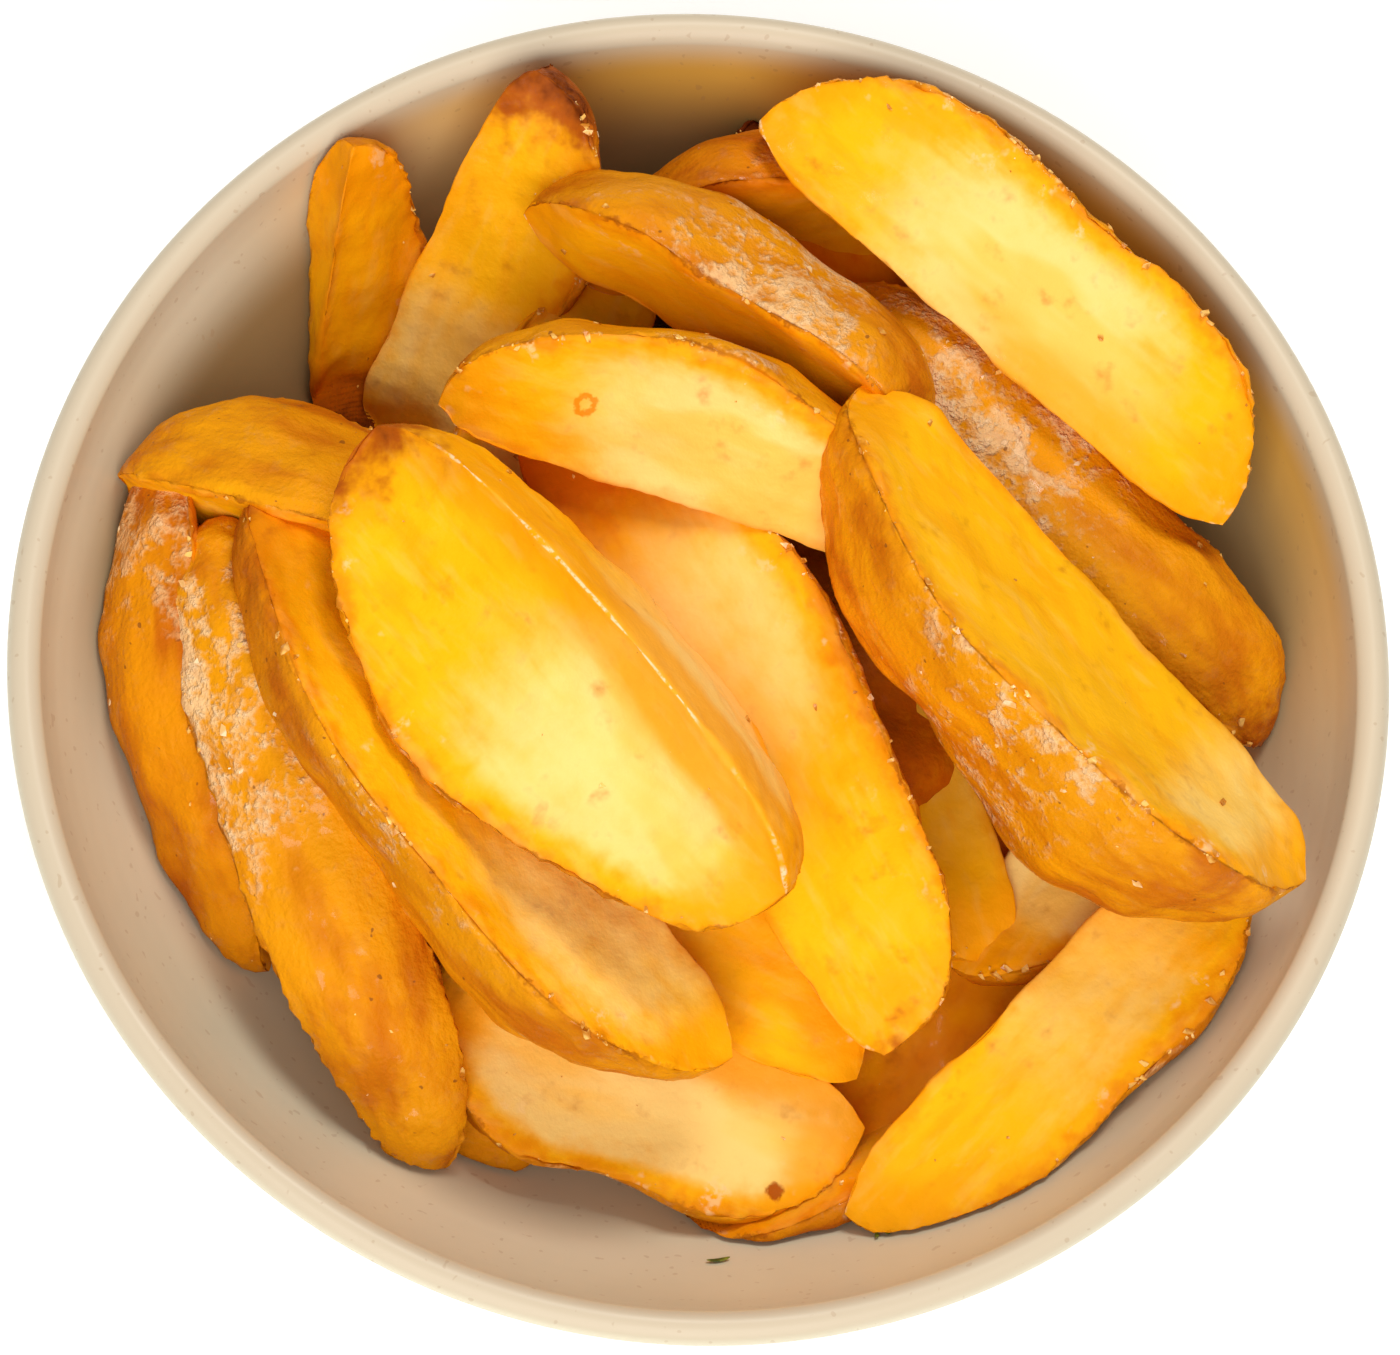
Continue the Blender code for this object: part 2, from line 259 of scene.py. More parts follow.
# How far browning, dryness, blisters and crumbs reach over a wedge: in mm or half lengths of it, or
# as two values that a soft border runs between.
SKIN_BORDER_MM = 0.35
BURNT_REACH_MM = 7.0
BURNT_LEAST_SHARE = 0.4
# Amber by the inner edge: browning and partly painted shade where a face turns from light.
AMBER_AND_SHADE_REACH_MM = (13.0, 2.0)
END_AMBER = 1.0
END_AMBER_REACH_MM = 16.0
# The back toast, partly browning and partly painted shadow, runs between these places.
BACK_TOAST_AND_SHADOW_FROM_TO = (-0.35, -0.8)
PALE_BORDER = (0.02, 0.28)
DRY_REACH = 0.45
BLISTER_SPAN = (0.1, 0.9)
BLISTER_BY_DRY = 1.9
BLISTER_SHIFT = 0.95
RELIEF_FADE = (0, 0.35)
SEED_STEP = 7
SEAM_SHARE = 0.5
SEAM_REACH_MM = 6.0
CRUMB_REACH_MM = 0.9
CRUMB_PATCH_SIZE_MM = 7
CRUMB_PATCH_SPAN = (0.0, 0.8)
CRUMB_PATCH_SHIFT = 0.2
CRUMB_DUST = 0.003

# A ripple is this many waves, each this fine, and their sum is divided by RIPPLE_HEIGHT.
RIPPLE_WAVES = 14
RIPPLE_FINENESS = (0.6, 1.4)
RIPPLE_HEIGHT = 4.5


def traits_of(wedge):
    """What sets this wedge's form apart from the others, drawn from its name."""
    rng = random.Random(wedge.name)
    return Traits(
        phases=(rng.uniform(0, 2 * math.pi), rng.uniform(0, 2 * math.pi)),
        twist=math.radians(TWIST_DEG) * rng.uniform(-1, 1),
        end_powers=(rng.uniform(*END_POWERS), rng.uniform(*END_POWERS)),
    )


def section_outline(around, wedge):
    """Points (y, z) on a section of radius 1, with the inner edge at 0, 0 and the skin towards +z.

    around is 0 to 1 out along the right cut face, to 2 over the skin, and to 3 back along the left.
    """
    half = math.radians(wedge.angle) / 2
    turn = half - 2 * half * np.clip(around - 1, 0, 1)
    side = np.where(around < 1.5, 1.0, -1.0)
    out = np.clip(np.minimum(around, 3 - around), 0, 1)
    sink = np.where(around < 1.5, wedge.hollow, wedge.hollow_2) * np.sin(math.pi * out**HOLLOW_SKEW)
    y = side * (out * math.sin(half) - sink * math.cos(half))
    z = out * math.cos(half) + sink * math.sin(half)
    skin = (around >= 1) & (around <= 2)
    return np.where(skin, np.sin(turn), y), np.where(skin, np.cos(turn), z)


def placement(wedge):
    """The wedge's place and attitude in the bowl, as a 4 x 4 matrix."""
    return (
        Matrix.Translation((wedge.x * MM, wedge.y * MM, wedge.z * MM))
        @ Matrix.Rotation(math.radians(wedge.yaw), 4, "Z")
        @ Matrix.Rotation(-math.radians(wedge.pitch), 4, "Y")
        @ Matrix.Rotation(math.radians(wedge.roll), 4, "X")
    )


def kept_in_bowl(points):
    """The points, drawn towards the middle of the bowl's mouth until they clear the bowl."""
    mouth = np.array((0, 0, BOWL_HEIGHT - WALL / 2))
    for _ in range(FIT_ROUNDS):
        out = np.hypot(points[..., 0], points[..., 1]) / (BOWL_RADIUS - WALL - BOWL_CLEARANCE)
        down = np.maximum(mouth[2] - points[..., 2], 0) / (INNER_DEPTH - BOWL_CLEARANCE)
        reach = np.maximum(down**HOLLOW_POWER + out**HOLLOW_ROUNDNESS, 1)
        points = mouth + (points - mouth) * reach[..., None] ** (-1 / HOLLOW_ROUNDNESS)
    return points


def ripples(points, size, seed):
    """Smooth uneven waves about size across, from -1 to 1 or a little beyond, at each point."""
    rng = np.random.default_rng(seed)
    total = np.zeros(points.shape[:-1])
    for _ in range(RIPPLE_WAVES):
        direction = rng.normal(size=3)
        direction *= rng.uniform(*RIPPLE_FINENESS) / (np.linalg.norm(direction) * size)
        total += np.sin(2 * math.pi * (points @ direction) + rng.uniform(0, 2 * math.pi))
    return total / RIPPLE_HEIGHT


def smooth_step(low, high, value):
    """0 at low and beyond it, 1 at high and beyond it, and a smooth rise between them."""
    share = np.clip((value - low) / (high - low), 0, 1)
    return share * share * (3 - 2 * share)


def grid_normals(points):
    """Outward unit normals of a grid of points whose second axis closes on itself."""
    along = np.gradient(points, axis=0)
    around = np.roll(points, -1, axis=1) - np.roll(points, 1, axis=1)
    normals = np.cross(around, along)
    normals /= np.maximum(np.linalg.norm(normals, axis=-1, keepdims=True), 1e-12)
    outward = points - points.mean(axis=1, keepdims=True)
    return normals * np.sign((normals * outward).sum())


def closed_grid(name, grid, first_tip, last_tip, values):
    """A closed mesh of rings joined by quads with a fan at each end.

    It carries each of the values, a number or a vector for each point of the grid, as an attribute.
    """
    rows, columns = grid.shape[:2]
    points = np.concatenate([grid.reshape(-1, 3), first_tip[None], last_tip[None]])
    index = np.arange(rows * columns).reshape(rows, columns)
    nexts = np.roll(index, -1, axis=1)
    quads = np.stack([index[:-1], nexts[:-1], nexts[1:], index[1:]], axis=-1)
    quads = quads.reshape(-1, 4).tolist()
    quads += [(rows * columns, b, a) for a, b in zip(index[0].tolist(), nexts[0].tolist())]
    quads += [(rows * columns + 1, a, b) for a, b in zip(index[-1].tolist(), nexts[-1].tolist())]
    mesh = bpy.data.meshes.new(name)
    mesh.from_pydata(points.tolist(), [], quads)
    for key, value in values.items():
        kind, field = ("FLOAT_VECTOR", "vector") if value.ndim == 3 else ("FLOAT", "value")
        ends = [value[0].mean(axis=0)[None], value[-1].mean(axis=0)[None]]
        flat = np.concatenate([value.reshape((rows * columns,) + value.shape[2:])] + ends)
        attribute = mesh.attributes.new(key, kind, "POINT")
        attribute.data.foreach_set(field, flat.astype(np.float32).ravel())
    bm = bmesh.new()
    bm.from_mesh(mesh)
    bmesh.ops.recalc_face_normals(bm, faces=bm.faces)
    bm.to_mesh(mesh)
    bm.free()
    mesh.shade_smooth()
    return mesh


def rounded_section(wedge):
    """Columns round the wedge, for a section of radius 1 with its edges rounded.

    They are each column's around value, y and z, and how far it is from the nearer skin edge, which
    is negative on the skin, and from the inner edge.
    """
    around = np.linspace(0, 3, OUTLINE_STEPS, endpoint=False)
    y, z = section_outline(around, wedge)
    step = np.hypot(np.diff(y, append=y[0]), np.diff(z, append=z[0]))
    run = np.concatenate([[0], np.cumsum(step)[:-1]])
    whole = step.sum()
    even = np.linspace(0, whole, SECTION_STEPS, endpoint=False)
    spread = EDGE_ROUNDING_MM / wedge.width / (whole / SECTION_STEPS)
    kernel = np.exp(-0.5 * (np.arange(-ROUNDING_STEPS, ROUNDING_STEPS + 1) / spread) ** 2)
    kernel /= kernel.sum()

    def rounded(values):
        values = np.interp(even, run, values, period=whole)
        values = np.concatenate([values[-ROUNDING_STEPS:], values, values[:ROUNDING_STEPS]])
        return np.convolve(values, kernel, "valid")

    corners = run[np.searchsorted(around, [1.0, 2.0])]
    to_skin_edge = np.abs(even[:, None] - corners).min(axis=1)
    to_ridge = np.minimum(even, whole - even)
    nearest_mm = np.minimum(to_skin_edge, to_ridge) * wedge.width
    crowding = 1 + EDGE_CROWDING * np.exp(-((nearest_mm / CROWDING_REACH_MM) ** 2))
    share = np.cumsum(crowding)
    share = (share - share[0]) / share[-1]
    count = int(whole * wedge.width / POINT_SPACING_MM * crowding.mean())
    index = np.arange(SECTION_STEPS)
    pick = np.interp(np.linspace(0, 1, count, endpoint=False), share, index)
    skin = (even > corners[0]) & (even < corners[1])
    signed = np.where(skin, -to_skin_edge, to_skin_edge)
    columns = (np.interp(even, run, around), rounded(y), rounded(z), signed, to_ridge)
    return [np.interp(pick, index, values) for values in columns]


def smooth_wedge(wedge):
    """The wedge before its relief: a grid of points in mm, with rows along it and columns round it.

    With them come the place of each row along it, from -1 to 1, the section's size, and the
    distances in mm from the nearer skin edge, which is negative on the skin, from the inner edge
    and from the ends.
    """
    traits = traits_of(wedge)
    around, y, z, to_edge, to_ridge = rounded_section(wedge)
    rows = int(wedge.length / POINT_SPACING_MM * ROWS_SHARE)
    along = np.sin(0.5 * math.pi * np.linspace(-1, 1, rows + 2))[1:-1, None]
    power = np.where(along > 0, traits.end_powers[1], traits.end_powers[0])
    size = wedge.width * np.sqrt(1 - np.abs(along) ** power)
    long_lump = np.sin(LUMPS_ALONG[0] * along + traits.phases[0])
    short_lump = np.sin(LUMPS_ALONG[1] * along + traits.phases[1] + LUMPS_AROUND * around)
    size = size * (1 + LUMP_SHARE * (long_lump + short_lump))
    turn = traits.twist * along
    tip_lift = TIP_LIFT_SHARE * wedge.width * np.abs(along) ** TIP_LIFT_POWER
    lift = wedge.bend * (1 - along**2) + tip_lift
    across = size * (y * np.cos(turn) - z * np.sin(turn))
    height = size * (y * np.sin(turn) + z * np.cos(turn)) + lift
    points = np.stack([along * wedge.length / 2 + 0 * across, across, height], axis=-1)
    end_mm = (1 - np.abs(along)) * wedge.length / 2 + 0 * size
    return Form(points, along, size, to_edge * size, to_ridge * size, end_mm)


def waves(relief, points, seed):
    """The height in mm of one kind of relief at each point."""
    return relief.height_mm * ripples(points, relief.size_mm, seed)


def relief_of(form, skin, blister, seed):
    """How far each point stands out, in mm.

    Faces swell softly, the skin swells, wrinkles along the wedge and blisters, and the cut edges
    are nibbled.
    """
    points = form.points
    face = waves(FACE_SWELL, points, seed + 2) + waves(FACE_GRAIN, points, seed + 3)
    wrinkle = ripples(points * WRINKLE_STRETCH, SKIN_WRINKLE.size_mm, seed + 5)
    wrinkle = SKIN_WRINKLE.height_mm * (WRINKLE_TOP - np.abs(wrinkle))
    crease = BLISTER_LEAST + BLISTER_CHANGE * ripples(points, BLISTER_CREASE_SIZE_MM, seed + 6)
    peel = waves(SKIN_SWELL, points, seed + 4) + wrinkle + BLISTER.height_mm * blister * crease
    bite = 0.5 * NIBBLE.height_mm + 0.5 * waves(NIBBLE, points, seed + 7)
    bite += waves(SMALL_NIBBLE, points, seed + 8)
    near_edge = np.exp(-((form.edge_mm / NIBBLE_REACH_MM) ** 2))
    return (1 - skin) * face + skin * peel - near_edge * bite


def finish_values(fry, form, skin, dry, blister, seed):
    """What the fried finish and the scattered bits read at each point of a wedge."""
    inward = np.clip(form.edge_mm / np.maximum(form.size, 0.1), 0, 1)
    pale = np.exp(-(np.abs((form.along - fry.pale_at) / fry.pale_reach) ** 3))
    burnt = np.where(form.along < 0, fry.burnt[0], fry.burnt[1])
    burnt_reach = BURNT_REACH_MM * (BURNT_LEAST_SHARE + burnt)
    uneven = ripples(form.points, CRUMB_PATCH_SIZE_MM, seed + 9) + CRUMB_PATCH_SHIFT
    crumb = np.exp(-((form.edge_mm / CRUMB_REACH_MM) ** 2)) * smooth_step(*CRUMB_PATCH_SPAN, uneven)
    # Amber by the inner edge: browning, and partly painted shade where a hollow face turns away.
    by_ridge = fry.ridge * smooth_step(*AMBER_AND_SHADE_REACH_MM, form.ridge_mm)
    by_end = END_AMBER * smooth_step(END_AMBER_REACH_MM, 0, form.end_mm)
    # Partly painted shadow: more toast towards a back end that a wedge above shades.
    by_back_toast_and_shadow = fry.back * smooth_step(*BACK_TOAST_AND_SHADOW_FROM_TO, form.along)
    return {
        "crumb": fry.crumbs * crumb * (form.end_mm > CRUMB_REACH_MM) + CRUMB_DUST,
        "flake": blister * skin,
        "grain_mm": form.points,
        "edge_mm": form.edge_mm,
        "ridge_mm": form.ridge_mm,
        "skin": skin,
        "dry": dry * skin,
        "pale": fry.pale * pale * smooth_step(*PALE_BORDER, inward),
        "amber": np.maximum(by_ridge, by_end),
        "toast": fry.toast + by_back_toast_and_shadow + 0 * form.size,
        "burnt": burnt * np.exp(-((form.end_mm / burnt_reach) ** 2)),
    }


def make_wedge(wedge, material):
    """One wedge with soft edges, its fried relief and the values that its finish reads."""
    fry = FRIES[wedge.name]
    seed = sum(ord(letter) for letter in wedge.name) * SEED_STEP
    form = smooth_wedge(wedge)
    skin = smooth_step(SKIN_BORDER_MM, -SKIN_BORDER_MM, form.edge_mm)
    by_seam = SEAM_SHARE * np.exp(-((form.edge_mm / SEAM_REACH_MM) ** 2)) + 1 - SEAM_SHARE
    dry = fry.dry * np.exp(-(((form.along - fry.dry_at) / DRY_REACH) ** 2)) * by_seam
    blister = ripples(form.points * BLISTER_STRETCH, BLISTER.size_mm, seed + 1)
    blister = smooth_step(*BLISTER_SPAN, blister + BLISTER_BY_DRY * dry - BLISTER_SHIFT)

    fade = smooth_step(*RELIEF_FADE, form.size / wedge.width)
    relief = relief_of(form, skin, blister, seed) * fade
    raised = form.points + grid_normals(form.points) * relief[..., None]
    place = placement(wedge)
    turned = np.array(place.to_3x3())
    offset = np.array(place.translation)

    def placed(points):
        return kept_in_bowl(points * MM @ turned.T + offset)

    tip_lift = TIP_LIFT_SHARE * wedge.width
    tips = [placed(np.array((end * wedge.length / 2, 0, tip_lift))) for end in (-1, 1)]
    values = finish_values(fry, form, skin, dry, blister, seed)
    mesh = closed_grid(wedge.name, placed(raised), *tips, values)
    mesh.materials.append(material)
    return new_piece(wedge.name, mesh, "potato_wedges")


def new_piece(name, mesh, node):
    """The mesh as a piece of the bowl, standing for the CAD node that is named."""
    piece = bpy.data.objects.new(name, mesh)
    bpy.context.scene.collection.objects.link(piece)
    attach(piece, "root")
    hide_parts(node)
    return piece


def turned_rings(profile, steps):
    """A grid of rings, one for each (radius, height) of the profile."""
    turn = np.linspace(0, 2 * math.pi, steps, endpoint=False)
    radius, height = np.array(profile).T[..., None]
    return np.stack([radius * np.cos(turn), radius * np.sin(turn), height + 0 * turn], axis=-1)


# --- Bowl ---


def hollow_radius(depth, radius, full_depth):
    """The radius, depth below the rim, of a rounded hollow that closes at full_depth."""
    share = min(depth / full_depth, 1.0)
    return radius * (1 - share**HOLLOW_POWER) ** (1 / HOLLOW_ROUNDNESS)


def hollow_side(radius, full_depth, top):
    """Points (radius, height) down a hollow's side, closer together where it turns to the floor."""
    points = []
    for i in range(SIDE_STEPS):
        depth = full_depth * math.sin(0.5 * math.pi * i / SIDE_STEPS) ** SIDE_SPACING
        points.append((hollow_radius(depth, radius, full_depth), top - depth))
    return points


def foot_profile():
    """The underside and the foot ring, with small soft corners."""
    inner = FOOT_RADIUS - FOOT_WIDTH
    soft = FOOT_SOFTNESS
    return [
        *((radius, FOOT_RECESS) for radius in UNDERSIDE_RADII),
        (inner - FOOT_DRAFT - soft, FOOT_RECESS),
        (inner - FOOT_DRAFT, FOOT_RECESS - soft / 2),
        (inner - soft / 2, soft),
        (inner + soft, 0.0),
        (FOOT_RADIUS - soft, 0.0),
        (FOOT_RADIUS, soft),
        (FOOT_RADIUS + FOOT_DRAFT * FOOT_FLARE_SHARE, FOOT_HEIGHT - 2 * soft),
        (FOOT_RADIUS + FOOT_DRAFT, FOOT_HEIGHT),
    ]


def rounded_lip(radius):
    """Points (radius, height) over the rim's half round, from the outside to the inside."""
    middle = BOWL_RADIUS - radius
    turns = [math.pi * i / LIP_STEPS for i in range(1, LIP_STEPS)]
    return [
        (middle + radius * math.cos(turn), BOWL_HEIGHT - radius + radius * math.sin(turn))
        for turn in turns
    ]


def make_bowl(material):
    """The bowl, turned from its foot ring up the outside, over the lip and down into the hollow."""
    lip_radius = WALL / 2
    lip_height = BOWL_HEIGHT - lip_radius
    outer = hollow_side(BOWL_RADIUS, BODY_DEPTH, lip_height)
    outer = [point for point in outer if point[0] > FOOT_RADIUS + 2 * FOOT_DRAFT]
    inner = hollow_side(BOWL_RADIUS - WALL, INNER_DEPTH, lip_height)
    outside = foot_profile() + outer[::-1] + rounded_lip(lip_radius)
    rings = turned_rings(outside + inner, BOWL_STEPS)
    inside = np.repeat([0.0, 1.0], (len(outside), len(inner)))[:, None] + 0 * rings[..., 0]
    underside = np.array((0, 0, FOOT_RECESS))
    floor = np.array((0, 0, lip_height - INNER_DEPTH))
    mesh = closed_grid("serving_bowl", rings, underside, floor, {"inside": inside})
    mesh.materials.append(material)
    return new_piece("serving_bowl", mesh, "bowl")


def make_core(material):
    """The dome under the wedges, lumpy where it shows in a gap."""
    shares = np.linspace(0, 1, CORE_SIDE_STEPS, endpoint=False)[:, None]
    corners = np.array(CORE_PROFILE, float)
    sides = [first + (second - first) * shares for first, second in zip(corners, corners[1:])]
    profile = np.concatenate(sides) * (CORE_RADIUS, CORE_HEIGHT)
    rings = kept_in_bowl(turned_rings(profile[1:], CORE_STEPS))
    swell_seed, grain_seed = CORE_SEEDS
    lumps = waves(CORE_SWELL, rings / MM, swell_seed) + waves(CORE_GRAIN, rings / MM, grain_seed)
    rings = kept_in_bowl(rings + grid_normals(rings) * (lumps * MM)[..., None])
    bottom = kept_in_bowl(np.array((0, 0, 0.0)))
    top = np.array((0, 0, CORE_HEIGHT))
    values = {name: level * np.ones(rings.shape[:2]) for name, level in CORE_FINISH.items()}
    values["grain_mm"] = rings / MM
    mesh = closed_grid("hidden_core", rings, bottom, top, values)
    mesh.materials.append(material)
    return new_piece("hidden_core", mesh, "potato_wedges")


# --- Nodes ---


def feed(tree, socket, value):
    """Sets the socket to a value, or links it to another node's output."""
    if isinstance(value, bpy.types.NodeSocket):
        tree.links.new(value, socket)
    else:
        socket.default_value = value


def fill(tree, node, **inputs):
    """Feeds the node's inputs, which are named with _ for a space."""
    for key, value in inputs.items():
        wanted = key.replace("_", " ")
        found = [socket for socket in node.inputs if socket.name == wanted and socket.enabled]
        if not found:
            raise KeyError(f"{node.bl_idname} has no input {wanted}")
        feed(tree, found[0], value)


def add(tree, kind, settings=None, **inputs):
    """A node with its settings made and its inputs fed."""
    node = tree.nodes.new(kind)
    for key, value in (settings or {}).items():
        setattr(node, key, value)
    fill(tree, node, **inputs)
    return node


def mix(tree, share, first, second, blend="MIX"):
    """The first colour with a share of the second laid over it."""
    node = add(tree, "ShaderNodeMix", {"data_type": "RGBA", "blend_type": blend}, Factor=share)
    for socket, colour in ((node.inputs[6], first), (node.inputs[7], second)):
        feed(tree, socket, (*colour, 1.0) if isinstance(colour, tuple) else colour)
    return node.outputs[2]


def maths(tree, operation, first, second=0.0, clamp=False):
    """The result of one operation on two numbers, or on the first alone."""
    node = add(tree, "ShaderNodeMath", {"operation": operation, "use_clamp": clamp})
    feed(tree, node.inputs[0], first)
    feed(tree, node.inputs[1], second)
    return node.outputs[0]


def times(tree, first, second):
    return maths(tree, "MULTIPLY", first, second)


def plus(tree, first, second):
    return maths(tree, "ADD", first, second)


def rest_of(tree, share):
    return maths(tree, "SUBTRACT", 1.0, share)


def centred(tree, noise, strength):
    """The noise, made to swing about 0 and scaled by the strength."""
    return times(tree, maths(tree, "SUBTRACT", noise, 0.5), strength)


def span(tree, value, low, high, to_low=0.0, to_high=1.0):
    """value from low to high as a smooth share, from to_low to to_high."""
    node = add(
        tree,
        "ShaderNodeMapRange",
        {"interpolation_type": "SMOOTHSTEP"},
        Value=value,
        From_Min=low,
        From_Max=high,
        To_Min=to_low,
        To_Max=to_high,
    )
    return node.outputs[0]


def vector_maths(tree, operation, first, second):
    """The node for one operation on two vectors, the second of them the same everywhere."""
    node = add(tree, "ShaderNodeVectorMath", {"operation": operation}, Vector=first)
    node.inputs[1].default_value = second
    return node


def scaled(tree, vector, factor):
    """The vector times the factor."""
    node = add(tree, "ShaderNodeVectorMath", {"operation": "SCALE"}, Vector=vector, Scale=factor)
    return node.outputs[0]


def new_group(name, kind, inputs, outputs):
    """A group with named inputs and outputs, what its inputs give, and its output node."""
    group = bpy.data.node_groups.new(name, kind)
    for label, socket_type, value in inputs:
        socket = group.interface.new_socket(name=label, in_out="INPUT", socket_type=socket_type)
        if value is not None:
            socket.default_value = value
    for label, socket_type in outputs:
        group.interface.new_socket(name=label, in_out="OUTPUT", socket_type=socket_type)
    given = group.nodes.new("NodeGroupInput").outputs
    return group, given, group.nodes.new("NodeGroupOutput")


# --- Crumbs, flakes and herbs ---

BITS_INPUTS = (
    ("Hosts", "NodeSocketCollection", None),
    ("Where", "NodeSocketString", "crumb"),
    ("Density", "NodeSocketFloat", 0.0),
    ("Smallest", "NodeSocketFloat", 0.0002),
    ("Largest", "NodeSocketFloat", 0.0008),
    ("Flatness", "NodeSocketFloat", 0.8),
    ("Seed", "NodeSocketInt", 1),
    ("Material", "NodeSocketMaterial", None),
)
# Bits thin out, from all to none, as a normal's upward share falls from the second to the first.
BITS_UPWARD = (-0.3, 0.3)
# A bit's size is drawn from 0 to 1 and raised to this power, so that few are large.
BITS_RARITY = 3.0
BITS_STRETCH = (0.8, 1.7)
# How fine and how strong the noise is that makes the one lump uneven, and then each bit in its
# place. The bits are shaken by a number of smallest sizes.
LUMP_FINENESS = 1.9
LUMP_SHAKE = 1.1
BITS_FINENESS = 1.1 / MM
BITS_SHAKE = 2.0


def shaken(tree, geometry, fineness, distance):
    """The geometry with its points moved by a smooth noise."""
    noise = add(tree, "ShaderNodeTexNoise", Scale=fineness, Detail=0.0).outputs[1]
    push = vector_maths(tree, "SUBTRACT", noise, (0.5, 0.5, 0.5)).outputs[0]
    push = scaled(tree, push, distance)
    return add(tree, "GeometryNodeSetPosition", Geometry=geometry, Offset=push).outputs[0]


def bits_tree():
    """Geometry Nodes that scatter small uneven bits over the upper sides of a collection's meshes.

    Density is the number of them on a square metre where the attribute that Where names is 1.
    """
    tree, given, out = new_group(
        "scattered_bits", "GeometryNodeTree", BITS_INPUTS, [("Geometry", "NodeSocketGeometry")]
    )

    def chance(offset, low, high):
        seed = plus(tree, given["Seed"], offset)
        number = {"data_type": "FLOAT"}
        node = add(tree, "FunctionNodeRandomValue", number, Min=low, Max=high, Seed=seed)
        return next(socket for socket in node.outputs if socket.enabled)

    in_place = {"transform_space": "RELATIVE"}
    hosts = add(tree, "GeometryNodeCollectionInfo", in_place, Collection=given["Hosts"]).outputs[0]
    hosts = add(tree, "GeometryNodeRealizeInstances", Geometry=hosts).outputs[0]
    where = add(
        tree, "GeometryNodeInputNamedAttribute", {"data_type": "FLOAT"}, Name=given["Where"]
    ).outputs[0]
    normal = add(tree, "GeometryNodeInputNormal").outputs[0]
    upward = add(tree, "ShaderNodeSeparateXYZ", Vector=normal).outputs[2]
    density = times(tree, where, span(tree, upward, *BITS_UPWARD))
    density = times(tree, density, given["Density"])
    spots = add(
        tree,
        "GeometryNodeDistributePointsOnFaces",
        Mesh=hosts,
        Density=density,
        Seed=given["Seed"],
    ).outputs
    size = add(
        tree,
        "ShaderNodeMapRange",
        Value=maths(tree, "POWER", chance(1, 0.0, 1.0), BITS_RARITY),
        To_Min=given["Smallest"],
        To_Max=given["Largest"],
    ).outputs[0]
    long = times(tree, size, chance(2, *BITS_STRETCH))
    flat = times(tree, size, given["Flatness"])
    scale = add(tree, "ShaderNodeCombineXYZ", X=long, Y=size, Z=flat).outputs[0]
    spin = add(tree, "ShaderNodeCombineXYZ", Z=chance(3, 0.0, 2 * math.pi)).outputs[0]
    spin = add(tree, "FunctionNodeEulerToRotation", Euler=spin).outputs[0]
    turned = add(
        tree,
        "FunctionNodeRotateRotation",
        {"rotation_space": "LOCAL"},
        Rotation=spots["Rotation"],
        Rotate_By=spin,
    ).outputs[0]
    lump = add(tree, "GeometryNodeMeshIcoSphere", Radius=0.5, Subdivisions=1).outputs[0]
    lump = shaken(tree, lump, LUMP_FINENESS, LUMP_SHAKE)
    bits = add(
        tree,
        "GeometryNodeInstanceOnPoints",
        Points=spots["Points"],
        Instance=lump,
        Rotation=turned,
        Scale=scale,
    ).outputs[0]
    bits = add(tree, "GeometryNodeRealizeInstances", Geometry=bits).outputs[0]
    bits = shaken(tree, bits, BITS_FINENESS, times(tree, given["Smallest"], BITS_SHAKE))
    bits = add(tree, "GeometryNodeSetMaterial", Geometry=bits, Material=given["Material"])
    fill(tree, out, Geometry=bits.outputs[0])
    return tree


def make_bits(name, tree, hosts, **inputs):
    """One mesh of all the bits of a kind that the tree scatters over the hosts."""
    collection = bpy.data.collections.new("hosts_of_" + name)
    for piece in hosts:
        collection.objects.link(piece)
    carrier = bpy.data.objects.new("carrier", bpy.data.meshes.new("carrier"))
    bpy.context.scene.collection.objects.link(carrier)
    modifier = carrier.modifiers.new("scatter", "NODES")
    modifier.node_group = tree
    inputs["Hosts"] = collection
    for item in tree.interface.items_tree:
        if item.in_out == "INPUT" and item.name in inputs:
            modifier[item.identifier] = inputs[item.name]
    evaluated = carrier.evaluated_get(bpy.context.evaluated_depsgraph_get())
    mesh = bpy.data.meshes.new_from_object(evaluated)
    mesh.name = name
    bpy.data.objects.remove(carrier)
    bpy.data.collections.remove(collection)
    return new_piece(name, mesh, "potato_wedges")


# Herb bits on the front wall. round_deg is anticlockwise from +X, height is up the wall, and
# slope_deg is how far the bit's length is turned from level.
Herb = namedtuple("Herb", "round_deg height length width slope_deg")
HERBS = (
    Herb(-87.7, 42.2, 3.2, 0.9, 12),
    Herb(-72.0, 42.7, 1.6, 0.6, 75),
    Herb(-70.9, 42.9, 0.9, 0.7, 20),
)
HERB_ROWS = 16
HERB_COLUMNS = 12
HERB_HALF_THICKNESS_MM = 0.12
HERB_LIFT_MM = 0.25
HERB_END_CURL_MM = 0.3
HERB_SIDE_CURL_SHARE = 0.15


